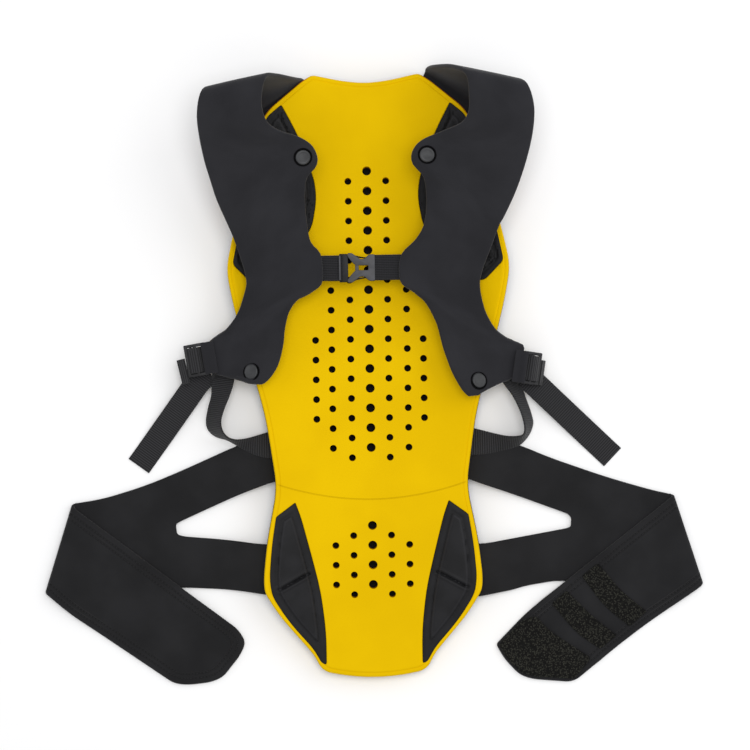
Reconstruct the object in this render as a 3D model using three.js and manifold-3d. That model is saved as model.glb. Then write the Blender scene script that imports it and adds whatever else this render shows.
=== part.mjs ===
import * as THREE from 'three';
import { mergeGeometries, mergeVertices } from 'three/addons/utils/BufferGeometryUtils.js';
import Module from 'manifold-3d';

// A motorcycle back protector lying on its outer side, inner side up. Millimetres.
// +X is the right of the plate as seen from above, +Y its neck end, +Z up from the floor.
// The origin is on the flat underside of the cover, on the middle line of the back.

const wasm = await Module();
wasm.setup();

// Driving dimensions of the plate
const PLATE_LENGTH = 574;
const PLATE_WIDTH = 268;
const PLATE_THICKNESS = 16;
const COVER_THICKNESS = 2;
const COVER_LIP = 0.8;
const FLAT_HALF_WIDTH = 25;
const EDGE_CURL = 20;
const NECK_LIFT = 14;
const LUMBAR_LIFT = 8;
const GRID_STEP = 25;

// Driving dimensions of the vent holes
const HOLE_PITCH = 18.8;
const HOLE_COLUMN_STEP = 18;
const LARGE_HOLE = 8.4;
const SMALL_HOLE = 6.5;
const HOLE_SIDES = 8;

// Driving dimensions of the pads let into the plate
const POCKET_DEPTH = 6;
const PAD_PROUD = 2;

// Driving dimensions of the soft goods
const FLAP_THICKNESS = 4;
const FLAP_SPAN = 156;
const FLAP_HEIGHT = 105;
const BELT_THICKNESS = 3.6;
const BELT_REACH = 313;
const WEB_WIDTH = 24;
const WEB_THICKNESS = 1.5;
const LEFT_TAIL_LENGTH = 98;
const RIGHT_TAIL_LENGTH = 106;
const LEFT_TAIL_ANGLE = 53.5;
const RIGHT_TAIL_ANGLE = 42;
const PATCH_THICKNESS = 1;
const CHEST_HEIGHT = 42.6;
const RIGHT_FLAP_INWARD = 11;
const RIGHT_FLAP_DOWN = 13;

// Driving dimensions of the hard trim
const SNAP_DIAMETER = 15.5;
const SNAP_HEIGHT = 2;
const ADJUSTER_BAR = 3;
const ADJUSTER_SLOT = 6;
const ADJUSTER_RAIL = 3;
const ADJUSTER_TILT = 14;
const ADJUSTER_HEADING = 9;
const BUCKLE_LENGTH = 34;
const BUCKLE_THICKNESS = 8;
const BUCKLE_RIM = 1.6;
const BUCKLE_CENTRE = -10.5;
const BUCKLE_BAR = 3;
const BUCKLE_SLOT = 5;
const TAB_LENGTH = 8;
const TAB_THICKNESS = 2.4;

// Clearances
const GAP = 0.3;
const SOFT_GAP = 0.5;
const SEAT_GAP = 0.6;
const FLOOR_GAP = 0.05;

const HALF_LENGTH = PLATE_LENGTH / 2;
const HALF_WIDTH = PLATE_WIDTH / 2;
const PLATE_BASE = COVER_THICKNESS + GAP;
const PLATE_TOP = PLATE_BASE + PLATE_THICKNESS;
const CHEST_LINE = 0.36 * HALF_LENGTH;

// Shares of the half length between which a shift of the right flap, or a rise, takes effect
const INWARD_FROM_NECK = [0.7, 0.4];
const INWARD_FROM_STRAP = [-0.12, 0.02];
const DOWN_FROM_NECK = [0.32, 0.05];
const DOWN_FROM_STRAP = [-0.26, -0.02];
const STRAP_OVER_BELT = [-0.31, -0.265];
const FOLD_OVER_WING = [-0.83, -0.705];

const LEFT = -1;
const RIGHT = 1;
const SIDES = [
  { side: LEFT, name: 'left' },
  { side: RIGHT, name: 'right' },
];

const FINISH = {
  foam: { color: 0xeac005, roughness: 0.75, metalness: 0 },
  cover: { color: 0x161617, roughness: 0.9, metalness: 0 },
  pad: { color: 0x232324, roughness: 0.7, metalness: 0 },
  fabric: { color: 0x2b2b2d, roughness: 0.92, metalness: 0 },
  webbing: { color: 0x1f1f20, roughness: 0.85, metalness: 0 },
  plastic: { color: 0x333336, roughness: 0.45, metalness: 0 },
  hook: { color: 0x1c1c1a, roughness: 1, metalness: 0 },
};

// Shares of the half length and of the named lifts: where the back profile turns
const BACK_PROFILE = [
  { at: -1.0, lift: 0.1 * LUMBAR_LIFT },
  { at: -0.87, lift: 0.2 * LUMBAR_LIFT },
  { at: -0.4, lift: LUMBAR_LIFT },
  { at: -0.09, lift: 0 },
  { at: 0.53, lift: 0 },
  { at: 1.0, lift: NECK_LIFT },
];

// Half outlines from the neck round to the tail, as shares of half width and half length
const PLATE_OUTLINE = [
  { x: 0, y: 0.972 },
  { x: 0.149, y: 0.979 },
  { x: 0.373, y: 1 },
  { x: 0.455, y: 0.979 },
  { x: 0.731, y: 0.871 },
  { x: 0.951, y: 0.481 },
  { x: 1, y: 0.366 },
  { x: 0.97, y: 0.272 },
  { x: 0.91, y: 0.157 },
  { x: 0.784, y: -0.056 },
  { x: 0.739, y: -0.146 },
  { x: 0.679, y: -0.341 },
  { x: 0.683, y: -0.383 },
  { x: 0.746, y: -0.54 },
  { x: 0.775, y: -0.66 },
  { x: 0.765, y: -0.71 },
  { x: 0.668, y: -0.787 },
  { x: 0.429, y: -0.92 },
  { x: 0.384, y: -0.962 },
  { x: 0.336, y: -0.977 },
  { x: 0.187, y: -0.991 },
  { x: 0, y: -0.998 },
];

// Pad outlines on one side, as shares of half width and half length
const SCAPULA_OUTLINE = [
  { x: 0.597, y: 0.902 },
  { x: 0.7, y: 0.862 },
  { x: 0.916, y: 0.474 },
  { x: 0.955, y: 0.383 },
  { x: 0.828, y: 0.314 },
  { x: 0.403, y: 0.488 },
  { x: 0.351, y: 0.62 },
  { x: 0.478, y: 0.798 },
];
const LUMBAR_OUTLINE = [
  { x: 0.545, y: -0.418 },
  { x: 0.676, y: -0.464 },
  { x: 0.712, y: -0.55 },
  { x: 0.731, y: -0.662 },
  { x: 0.716, y: -0.72 },
  { x: 0.6, y: -0.807 },
  { x: 0.43, y: -0.899 },
  { x: 0.375, y: -0.945 },
  { x: 0.343, y: -0.952 },
  { x: 0.343, y: -0.844 },
  { x: 0.377, y: -0.707 },
  { x: 0.435, y: -0.592 },
];

// Columns of vent holes: how many column steps off the middle line, the first hole's height as
// a share of the half length, and how many holes follow below it at the hole pitch
const HOLE_COLUMNS = [
  { steps: 0, first: 0.684, count: 15, diameter: LARGE_HOLE },
  { steps: 1, first: 0.651, count: 15, diameter: SMALL_HOLE },
  { steps: 2, first: 0.29, count: 9, diameter: SMALL_HOLE },
  { steps: 2.85, first: 0.125, count: 5, diameter: SMALL_HOLE },
  { steps: 0, first: -0.491, count: 4, diameter: LARGE_HOLE },
  { steps: 1, first: -0.524, count: 4, diameter: SMALL_HOLE },
  { steps: 1.95, first: -0.556, count: 3, diameter: SMALL_HOLE },
];

// Sections of a shoulder flap from its root behind the plate, over the shoulder and down the
// chest to its tip. In and out are the neck edge and the arm edge. x is a share of the flap
// span, y of the half length, z of the flap height, and sag of the flap height at mid width.
const FLAP_SECTIONS = [
  { in: [0.378, 1.004, 0.126], out: [0.651, 0.886, 0.173], sag: 0 },
  { in: [0.391, 1.014, 0.23], out: [0.686, 0.899, 0.286], sag: 0 },
  { in: [0.435, 1.014, 0.46], out: [0.821, 0.927, 0.5], sag: 0.02 },
  { in: [0.52, 1.008, 0.75], out: [0.91, 0.94, 0.74], sag: 0.03 },
  { in: [0.577, 0.972, 0.95], out: [0.96, 0.934, 0.9], sag: 0.03 },
  { in: [0.606, 0.925, 0.995], out: [0.987, 0.9, 0.93], sag: 0.03 },
  { in: [0.609, 0.87, 0.97], out: [1, 0.85, 0.88], sag: 0.03 },
  { in: [0.58, 0.826, 0.92], out: [0.994, 0.8, 0.82], sag: 0.03 },
  { in: [0.51, 0.8, 0.85], out: [0.981, 0.75, 0.77], sag: 0.03 },
  { in: [0.4, 0.782, 0.78], out: [0.962, 0.7, 0.72], sag: 0.03 },
  { in: [0.325, 0.756, 0.73], out: [0.935, 0.648, 0.67], sag: 0.03 },
  { in: [0.292, 0.72, 0.69], out: [0.91, 0.6, 0.63], sag: 0.03 },
  { in: [0.3, 0.69, 0.66], out: [0.888, 0.567, 0.61], sag: 0.03 },
  { in: [0.358, 0.652, 0.63], out: [0.859, 0.53, 0.575], sag: 0.03 },
  { in: [0.372, 0.58, 0.575], out: [0.81, 0.467, 0.535], sag: 0.03 },
  { in: [0.359, 0.488, 0.52], out: [0.77, 0.4, 0.5], sag: 0.025 },
  { in: [0.34, 0.443, 0.485], out: [0.744, 0.348, 0.475], sag: 0.02 },
  { in: [0.284, 0.404, 0.465], out: [0.737, 0.31, 0.46], sag: 0.01 },
  { in: [0.276, 0.317, 0.465], out: [0.763, 0.26, 0.44], sag: 0 },
  { in: [0.33, 0.286, 0.465], out: [0.785, 0.228, 0.42], sag: 0 },
  { in: [0.42, 0.262, 0.47], out: [0.82, 0.196, 0.395], sag: 0 },
  { in: [0.478, 0.222, 0.475], out: [0.878, 0.16, 0.355], sag: -0.01 },
  { in: [0.508, 0.165, 0.485], out: [0.945, 0.138, 0.31], sag: -0.02 },
  { in: [0.52, 0.11, 0.49], out: [0.978, 0.115, 0.28], sag: -0.03 },
  { in: [0.55, 0.05, 0.49], out: [0.962, 0.03, 0.262], sag: -0.04 },
  { in: [0.585, 0.016, 0.475], out: [0.89, 0.012, 0.285], sag: -0.03 },
  { in: [0.62, -0.006, 0.455], out: [0.82, 0.005, 0.33], sag: -0.02 },
  { in: [0.654, -0.018, 0.435], out: [0.735, -0.014, 0.39], sag: 0 },
];

// The flap's root under the cover: x as a share of the half width, y of the half length
const FLAP_ROOT = [
  { in: [0.31, 0.94], out: [0.64, 0.83] },
  { in: [0.385, 0.975], out: [0.72, 0.855] },
];

// Sections of a belt wing from the plate to the fold. Upper is the edge nearer the neck. x is a
// share of the way from the plate's side to the belt's reach, y of the half length and z of
// the rise from the floor to the root under the cover.
const BELT_BASE = [
  { upper: [0, -0.195], lower: [0.01, -0.72], rise: 0.85 },
  { upper: [0.13, -0.222], lower: [0.1, -0.711], rise: 0.35 },
  { upper: [0.25, -0.258], lower: [0.19, -0.702], rise: 0.06 },
  { upper: [0.39, -0.303], lower: [0.37, -0.695], rise: 0 },
  { upper: [0.55, -0.351], lower: [0.54, -0.692], rise: 0 },
  { upper: [0.735, -0.392], lower: [0.76, -0.695], rise: 0 },
  { upper: [0.868, -0.408], lower: [0.98, -0.705], rise: 0 },
];
// Sections of the layer that is folded back over the wing
const BELT_OVER = [
  { upper: [0.825, -0.44], lower: [0.955, -0.74] },
  { upper: [0.75, -0.49], lower: [0.873, -0.783] },
  { upper: [0.575, -0.592], lower: [0.69, -0.877] },
  { upper: [0.4, -0.697], lower: [0.52, -0.97] },
  { upper: [0.25, -0.774], lower: [0.425, -1.022] },
  { upper: [0.13, -0.848], lower: [0.36, -1.027] },
  { upper: [0.09, -0.888], lower: [0.25, -1.015] },
  { upper: [0.092, -0.91], lower: [0.185, -0.992] },
];
// The belt's window, x and y as in its sections
const BELT_WINDOW = [
  { x: 0.425, y: -0.517 },
  { x: 0.385, y: -0.527 },
  { x: 0.2, y: -0.545 },
  { x: 0.03, y: -0.561 },
  { x: -0.15, y: -0.57 },
  { x: -0.15, y: -0.325 },
  { x: -0.02, y: -0.338 },
  { x: 0.13, y: -0.377 },
  { x: 0.4, y: -0.465 },
  { x: 0.43, y: -0.482 },
];
const BELT_EDGE = 0.755 * HALF_WIDTH;
const BELT_SPAN = BELT_REACH - BELT_EDGE;
const BELT_ROOT_DEPTH = 14;
const FLOOR_LAYER = BELT_THICKNESS / 2 + FLOOR_GAP;
const OVER_STEP = BELT_THICKNESS + SOFT_GAP;
const FOLD_TURNS = 4;

// Hook patches on the right wing: the ends of their edges nearer to and further from the plate,
// as in the belt's sections
const HOOK_PATCHES = [
  { name: 'end', start: [[0.1, -0.905], [0.2, -0.985]], end: [[0.245, -0.81], [0.43, -0.99]] },
  { name: 'middle', start: [[0.35, -0.745], [0.545, -0.92]], end: [[0.405, -0.718], [0.615, -0.875]] },
  { name: 'outer', start: [[0.475, -0.66], [0.68, -0.845]], end: [[0.545, -0.625], [0.75, -0.792]] },
];

// The side strap from its root to the adjuster. Neck is the edge nearer the neck, far the other.
// x is a share of the flap span, y of the half length, z of the flap height.
const SIDE_STRAP_RUN = [
  { neck: [0.64, -0.18, 0.14], far: [0.64, -0.262, 0.14] },
  { neck: [0.76, -0.197, 0.155], far: [0.75, -0.272, 0.115] },
  { neck: [0.82, -0.199, 0.185], far: [0.84, -0.262, 0.095] },
  { neck: [0.87, -0.192, 0.215], far: [0.925, -0.236, 0.07] },
  { neck: [0.9, -0.176, 0.24], far: [0.978, -0.2, 0.06] },
  { neck: [0.91, -0.15, 0.25], far: [1.003, -0.163, 0.07] },
  { neck: [0.905, -0.125, 0.25], far: [1.005, -0.133, 0.095] },
  { neck: [0.885, -0.09, 0.25], far: [0.99, -0.09, 0.125] },
  { neck: [0.845, -0.038, 0.235], far: [0.972, -0.05, 0.15] },
  { neck: [0.828, 0.005, 0.215], far: [0.965, -0.012, 0.165] },
  { neck: [0.85, 0.065, 0.18], far: [0.965, 0.006, 0.165] },
];
// The strap through the adjuster, across its bars: along and height in millimetres of the
// adjuster's own frame, worked out from its bars and the webbing
const THREAD_CLEAR = WEB_THICKNESS / 2 + GAP + 0.2;
const BAR_HALF = ADJUSTER_BAR / 2;
const BAR_PITCH = ADJUSTER_BAR + ADJUSTER_SLOT;
const THREAD_PATH = [
  { along: -BAR_PITCH - 4, height: -BAR_HALF - THREAD_CLEAR - 2.8 },
  { along: -BAR_PITCH, height: -BAR_HALF - THREAD_CLEAR - 0.2 },
  { along: -BAR_HALF - 0.65 * ADJUSTER_SLOT, height: -BAR_HALF - THREAD_CLEAR + 0.1 },
  { along: -BAR_HALF - 1.5 * THREAD_CLEAR, height: BAR_HALF - 0.3 },
  { along: -BAR_HALF - 0.5, height: BAR_HALF + THREAD_CLEAR + 0.2 },
  { along: BAR_HALF + 0.5, height: BAR_HALF + THREAD_CLEAR + 0.2 },
  { along: BAR_HALF + 1.5 * THREAD_CLEAR, height: BAR_HALF - 0.3 },
  { along: BAR_HALF + 1.9 * THREAD_CLEAR, height: -BAR_HALF - THREAD_CLEAR },
];
// The free tail below the adjuster: how far along the tail, and its height as a share of the
// adjuster's height
const TAIL_SECTIONS = [
  { along: 0, height: 0.52 },
  { along: 0.15, height: 0.44 },
  { along: 0.4, height: 0.25 },
  { along: 0.65, height: 0.1 },
  { along: 0.85, height: 0 },
  { along: 1, height: 0 },
];
const TAIL_START = { x: 1.058, y: -0.01 };
const ADJUSTER_PLACE = { x: 1.054, y: 0.066, z: 0.257 };

// Snap caps on a flap: x as a share of the flap span, y of the half length
const SNAPS = [
  { name: 'upper', x: 0.379, y: 0.719 },
  { name: 'lower', x: 0.71, y: 0.024 },
];

function smoothStep(from, to, value) {
  const t = Math.min(1, Math.max(0, (value - from) / (to - from)));
  return t * t * (3 - 2 * t);
}

// The height of the back's outer side above the floor on the middle line
function backLift(y) {
  const share = y / HALF_LENGTH;
  const next = BACK_PROFILE.findIndex((row) => row.at >= share);
  if (next < 0) return BACK_PROFILE[BACK_PROFILE.length - 1].lift;
  if (next === 0) return BACK_PROFILE[0].lift;
  const low = BACK_PROFILE[next - 1];
  const high = BACK_PROFILE[next];
  return low.lift + (high.lift - low.lift) * smoothStep(low.at, high.at, share);
}

// The underside of the cover, curled up towards both sides
function underside(x, y) {
  const outward = Math.max(0, Math.abs(x) - FLAT_HALF_WIDTH) / (HALF_WIDTH - FLAT_HALF_WIDTH);
  return backLift(y) + EDGE_CURL * outward * outward;
}

function toSolid(geometry) {
  const bare = geometry.clone();
  bare.deleteAttribute('normal');
  bare.deleteAttribute('uv');
  const merged = mergeVertices(bare, 1e-4);
  return new wasm.Manifold(new wasm.Mesh({
    numProp: 3,
    vertProperties: new Float32Array(merged.attributes.position.array),
    triVerts: new Uint32Array(merged.index.array),
  }));
}

function toGeometry(solid) {
  const mesh = solid.getMesh();
  const geometry = new THREE.BufferGeometry();
  geometry.setAttribute('position', new THREE.BufferAttribute(mesh.vertProperties, 3));
  geometry.setIndex(new THREE.BufferAttribute(mesh.triVerts, 1));
  return geometry;
}

function flipFaces(geometry) {
  const index = geometry.index.array;
  for (let i = 0; i < index.length; i += 3) {
    const second = index[i + 1];
    index[i + 1] = index[i + 2];
    index[i + 2] = second;
  }
  return geometry;
}

function signedVolume(geometry) {
  const position = geometry.attributes.position;
  const index = geometry.index;
  const [a, b, c] = [new THREE.Vector3(), new THREE.Vector3(), new THREE.Vector3()];
  let volume = 0;
  for (let i = 0; i < index.count; i += 3) {
    a.fromBufferAttribute(position, index.getX(i));
    b.fromBufferAttribute(position, index.getX(i + 1));
    c.fromBufferAttribute(position, index.getX(i + 2));
    volume += a.dot(b.cross(c)) / 6;
  }
  return volume;
}

function closedGrid(lower, upper) {
  const rows = lower.length;
  const columns = lower[0].length;
  const end = columns - 1;
  const at = (layer, i, j) => layer * rows * columns + i * columns + j;
  const points = [...lower.flat(), ...upper.flat()];
  const triangles = [];
  const quad = (a, b, c, d) => triangles.push(a, b, c, a, c, d);
  for (let i = 0; i < rows - 1; i += 1) {
    for (let j = 0; j < end; j += 1) {
      quad(at(1, i, j), at(1, i + 1, j), at(1, i + 1, j + 1), at(1, i, j + 1));
      quad(at(0, i, j), at(0, i, j + 1), at(0, i + 1, j + 1), at(0, i + 1, j));
    }
  }
  for (let i = 0; i < rows - 1; i += 1) {
    quad(at(0, i, 0), at(0, i + 1, 0), at(1, i + 1, 0), at(1, i, 0));
    quad(at(1, i, end), at(1, i + 1, end), at(0, i + 1, end), at(0, i, end));
  }
  for (let j = 0; j < end; j += 1) {
    quad(at(1, 0, j), at(1, 0, j + 1), at(0, 0, j + 1), at(0, 0, j));
    quad(at(0, rows - 1, j), at(0, rows - 1, j + 1), at(1, rows - 1, j + 1), at(1, rows - 1, j));
  }
  const geometry = new THREE.BufferGeometry().setFromPoints(points);
  geometry.setIndex(triangles);
  return signedVolume(geometry) < 0 ? flipFaces(geometry) : geometry;
}

// A prism over a closed outline of plan points, from one height to another
function prism(outline, low, high) {
  const shape = new THREE.Shape(outline);
  const geometry = new THREE.ExtrudeGeometry(shape, { depth: high - low, bevelEnabled: false });
  return geometry.translate(0, 0, low);
}

// A slab that follows the back's curve between two offsets above the cover's underside
function backSlab(outline, lowOffset, highOffset) {
  const columns = Math.ceil((HALF_WIDTH + GRID_STEP) / GRID_STEP);
  const rows = Math.ceil((HALF_LENGTH + GRID_STEP) / GRID_STEP);
  const layer = (offset) => {
    const grid = [];
    for (let i = -rows; i <= rows; i += 1) {
      const line = [];
      for (let j = -columns; j <= columns; j += 1) {
        const x = j * GRID_STEP;
        const y = i * GRID_STEP;
        line.push(new THREE.Vector3(x, y, underside(x, y) + offset));
      }
      grid.push(line);
    }
    return grid;
  };
  const block = toSolid(closedGrid(layer(lowOffset), layer(highOffset)));
  return block.intersect(toSolid(prism(outline, lowOffset - 1, highOffset + 3 * EDGE_CURL)));
}

// Moves every edge of a closed anticlockwise outline outwards
function grow(outline, distance) {
  const count = outline.length;
  return outline.map((point, i) => {
    const before = point.clone().sub(outline[(i + count - 1) % count]).normalize();
    const after = outline[(i + 1) % count].clone().sub(point).normalize();
    const normal = new THREE.Vector2(before.y + after.y, -before.x - after.x).normalize();
    const spread = normal.x * after.y - normal.y * after.x;
    return point.clone().addScaledVector(normal, distance / spread);
  });
}

function planPoint(row, side = RIGHT) {
  return new THREE.Vector2(side * row.x * HALF_WIDTH, row.y * HALF_LENGTH);
}

function anticlockwise(points) {
  return THREE.ShapeUtils.isClockWise(points) ? points.reverse() : points;
}

function plateOutline() {
  const right = PLATE_OUTLINE.map((row) => planPoint(row));
  const left = PLATE_OUTLINE.slice(1, -1).map((row) => planPoint(row, LEFT)).reverse();
  return anticlockwise([...right, ...left]);
}

function padOutline(rows, side) {
  return anticlockwise(rows.map((row) => planPoint(row, side)));
}

function pad(rows, side) {
  return backSlab(padOutline(rows, side), PLATE_TOP - POCKET_DEPTH + GAP, PLATE_TOP + PAD_PROUD);
}

function pocket(rows, side) {
  return backSlab(grow(padOutline(rows, side), GAP), PLATE_TOP - POCKET_DEPTH, PLATE_TOP + GRID_STEP);
}

function ventHoles() {
  const height = PLATE_TOP + EDGE_CURL + NECK_LIFT;
  const holes = [];
  for (const column of HOLE_COLUMNS) {
    const sides = column.steps === 0 ? [RIGHT] : [LEFT, RIGHT];
    for (const side of sides) {
      for (let i = 0; i < column.count; i += 1) {
        const radius = column.diameter / 2;
        const hole = new THREE.CylinderGeometry(radius, radius, 2 * height, HOLE_SIDES);
        hole.rotateX(Math.PI / 2);
        const x = side * column.steps * HOLE_COLUMN_STEP;
        holes.push(hole.translate(x, column.first * HALF_LENGTH - i * HOLE_PITCH, 0));
      }
    }
  }
  return toSolid(mergeGeometries(holes));
}

function backPlate() {
  let solid = backSlab(plateOutline(), PLATE_BASE, PLATE_TOP).subtract(ventHoles());
  for (const { side } of SIDES) {
    solid = solid.subtract(pocket(SCAPULA_OUTLINE, side)).subtract(pocket(LUMBAR_OUTLINE, side));
  }
  return toGeometry(solid);
}

function backCover() {
  return toGeometry(backSlab(grow(plateOutline(), COVER_LIP), 0, COVER_THICKNESS));
}

// A sheet of even thickness over rows of mid-surface points
function sheet(rows, thickness) {
  const last = rows.length - 1;
  const end = rows[0].length - 1;
  const normalAt = (i, j) => {
    const along = rows[Math.min(last, i + 1)][j].clone().sub(rows[Math.max(0, i - 1)][j]);
    const sideways = rows[i][Math.min(end, j + 1)].clone().sub(rows[i][Math.max(0, j - 1)]);
    return sideways.cross(along).normalize();
  };
  const face = (offset) => rows.map((row, i) => row.map(
    (point, j) => point.clone().addScaledVector(normalAt(i, j), offset),
  ));
  return closedGrid(face(-thickness / 2), face(thickness / 2));
}

// Points from one edge of a section to the other, lifted by the sag at mid width
function across(start, end, count, sag = 0) {
  const points = [];
  for (let j = 0; j <= count; j += 1) {
    const share = j / count;
    const point = start.clone().lerp(end, share);
    point.z += sag * 4 * share * (1 - share);
    points.push(point);
  }
  return points;
}

// The right flap, adjuster and strap lie further in and lower than the left ones
function lay(point, side) {
  const laid = point.clone();
  if (side === RIGHT) {
    const shift = (range) => smoothStep(...range, point.y / HALF_LENGTH);
    laid.x -= RIGHT_FLAP_INWARD * shift(INWARD_FROM_NECK) * shift(INWARD_FROM_STRAP);
    laid.y -= RIGHT_FLAP_DOWN * shift(DOWN_FROM_NECK) * shift(DOWN_FROM_STRAP);
  }
  laid.x *= side;
  return laid;
}

function flapPoint([x, y, z]) {
  return new THREE.Vector3(x * FLAP_SPAN, y * HALF_LENGTH, z * FLAP_HEIGHT);
}

function rootPoint([x, y]) {
  return new THREE.Vector3(x * HALF_WIDTH, y * HALF_LENGTH, 0);
}

// Lays points of a sheet close under the cover
function underCover(points, drop) {
  return points.map((point) => point.clone().setZ(underside(point.x, point.y) - drop));
}

const FLAP_ACROSS = 4;

function flapRows(side) {
  const drop = SOFT_GAP + FLAP_THICKNESS / 2;
  const rows = FLAP_ROOT.map((row) => {
    const line = across(rootPoint(row.in), rootPoint(row.out), FLAP_ACROSS);
    return underCover(line, drop);
  });
  for (const row of FLAP_SECTIONS) {
    const sag = row.sag * FLAP_HEIGHT;
    rows.push(across(flapPoint(row.in), flapPoint(row.out), FLAP_ACROSS, sag));
  }
  return rows.map((row) => row.map((point) => lay(point, side)));
}

// The highest point of a geometry over a plan point
function topOf(geometry, x, y) {
  const position = geometry.attributes.position;
  const index = geometry.index;
  const above = new THREE.Vector3(x, y, 2 * FLAP_HEIGHT);
  const ray = new THREE.Ray(above, new THREE.Vector3(0, 0, -1));
  const corners = [new THREE.Vector3(), new THREE.Vector3(), new THREE.Vector3()];
  let best = new THREE.Vector3(x, y, -Infinity);
  for (let i = 0; i < index.count; i += 3) {
    corners.forEach((corner, k) => corner.fromBufferAttribute(position, index.getX(i + k)));
    const hit = ray.intersectTriangle(...corners, true, new THREE.Vector3());
    if (hit && hit.z > best.z) best = hit;
  }
  return best;
}

// Where a round cap sits on a surface: square to it, and clear of it all round
function seatOn(geometry, x, y, radius) {
  const rim = [];
  for (let i = 0; i < 8; i += 1) {
    const angle = (Math.PI * i) / 4;
    rim.push(topOf(geometry, x + radius * Math.cos(angle), y + radius * Math.sin(angle)));
  }
  const normal = rim[0].clone().sub(rim[4]).cross(rim[2].clone().sub(rim[6])).normalize();
  const centre = topOf(geometry, x, y);
  const rise = Math.max(...rim.map((point) => point.clone().sub(centre).dot(normal)), 0);
  return { point: centre.addScaledVector(normal, rise), normal };
}

function snapCap() {
  const radius = SNAP_DIAMETER / 2;
  const profile = [
    new THREE.Vector2(0, 0),
    new THREE.Vector2(radius, 0),
    new THREE.Vector2(radius, 0.5 * SNAP_HEIGHT),
    new THREE.Vector2(0.75 * radius, SNAP_HEIGHT),
    new THREE.Vector2(0, SNAP_HEIGHT),
  ];
  return new THREE.LatheGeometry(profile, 16).rotateX(Math.PI / 2);
}

function sidePoint([x, y], z) {
  return new THREE.Vector3(BELT_EDGE + x * BELT_SPAN, y * HALF_LENGTH, z);
}

// The folded layer rests on the wing and drops to the floor beyond the wing's lower edge
function overHeight(y) {
  return FLOOR_LAYER + OVER_STEP * smoothStep(...FOLD_OVER_WING, y / HALF_LENGTH);
}

const BELT_ACROSS = 8;
const OVER_STEPS = 2;

// The wing's root lies close under the cover, and under the side strap where that comes first
function beltRootHeight(x, y) {
  const strapLayer = smoothStep(...STRAP_OVER_BELT, y / HALF_LENGTH) * (WEB_THICKNESS + SOFT_GAP);
  return underside(x, y) - SOFT_GAP - BELT_THICKNESS / 2 - strapLayer;
}

function beltBaseRow(row, depth = 0) {
  const line = across(sidePoint(row.upper, 0), sidePoint(row.lower, 0), BELT_ACROSS);
  return line.map((point) => {
    const root = beltRootHeight(BELT_EDGE - depth, point.y);
    const height = FLOOR_LAYER + row.rise * (root - FLOOR_LAYER);
    return new THREE.Vector3(point.x - depth, point.y, height);
  });
}

function beltRows() {
  const rows = [beltBaseRow({ ...BELT_BASE[0], rise: 1 }, BELT_ROOT_DEPTH)];
  rows.push(...BELT_BASE.map((row) => beltBaseRow(row)));
  const fold = rows[rows.length - 1];
  const line = fold[0].clone().sub(fold[fold.length - 1]).normalize();
  const outward = new THREE.Vector3(line.y, -line.x, 0);
  const radius = OVER_STEP / 2;
  for (let turn = 1; turn <= FOLD_TURNS; turn += 1) {
    const angle = (Math.PI * turn) / FOLD_TURNS;
    rows.push(fold.map((point) => {
      const turned = point.clone().addScaledVector(outward, radius * Math.sin(angle));
      turned.z += radius * (1 - Math.cos(angle));
      return turned;
    }));
  }
  const edges = BELT_OVER.map((row) => [sidePoint(row.upper, 0), sidePoint(row.lower, 0)]);
  for (let i = 0; i < edges.length; i += 1) {
    const [upper, lower] = edges[i];
    const [nextUpper, nextLower] = edges[Math.min(i + 1, edges.length - 1)];
    const steps = i === edges.length - 1 ? 1 : OVER_STEPS;
    for (let step = 0; step < steps; step += 1) {
      const share = step / OVER_STEPS;
      const line = across(
        upper.clone().lerp(nextUpper, share),
        lower.clone().lerp(nextLower, share),
        BELT_ACROSS,
      );
      rows.push(line.map((point) => point.setZ(overHeight(point.y))));
    }
  }
  return rows;
}

function mirrored(geometry, side) {
  return side === RIGHT ? geometry : flipFaces(geometry.scale(-1, 1, 1));
}

function beltWing(side) {
  const window = anticlockwise(BELT_WINDOW.map((row) => {
    const point = sidePoint([row.x, row.y], 0);
    return new THREE.Vector2(point.x, point.y);
  }));
  const cut = toSolid(prism(window, -1, 2 * EDGE_CURL));
  const wing = toSolid(sheet(beltRows(), BELT_THICKNESS)).subtract(cut);
  return mirrored(toGeometry(wing), side);
}

const PATCH_ACROSS = 8;
const PATCH_STEPS = 3;

function hookPatch(row, wing) {
  const lift = SEAT_GAP + PATCH_THICKNESS / 2;
  const edge = ([upper, lower]) => across(sidePoint(upper, 0), sidePoint(lower, 0), PATCH_ACROSS);
  const start = edge(row.start);
  const end = edge(row.end);
  const rows = [];
  for (let step = 0; step <= PATCH_STEPS; step += 1) {
    rows.push(start.map((point, j) => {
      const place = point.clone().lerp(end[j], step / PATCH_STEPS);
      return place.setZ(topOf(wing, place.x, place.y).z + lift);
    }));
  }
  return sheet(rows, PATCH_THICKNESS);
}

const ADJUSTER_WIDTH = WEB_WIDTH + 2 * SOFT_GAP + 2 * ADJUSTER_RAIL;
const ADJUSTER_LENGTH = 3 * ADJUSTER_BAR + 2 * ADJUSTER_SLOT;

// The adjuster's frame: local x points away from the flap, local y along the bars
function adjusterMatrix(side) {
  const place = lay(flapPoint([ADJUSTER_PLACE.x, ADJUSTER_PLACE.y, ADJUSTER_PLACE.z]), side);
  const heading = new THREE.Matrix4().makeRotationZ(-THREE.MathUtils.degToRad(ADJUSTER_HEADING));
  const tilt = new THREE.Matrix4().makeRotationY(THREE.MathUtils.degToRad(ADJUSTER_TILT));
  const turn = heading.multiply(tilt);
  const matrix = new THREE.Matrix4().makeTranslation(side * place.x, place.y, place.z);
  return matrix.multiply(turn);
}

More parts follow.
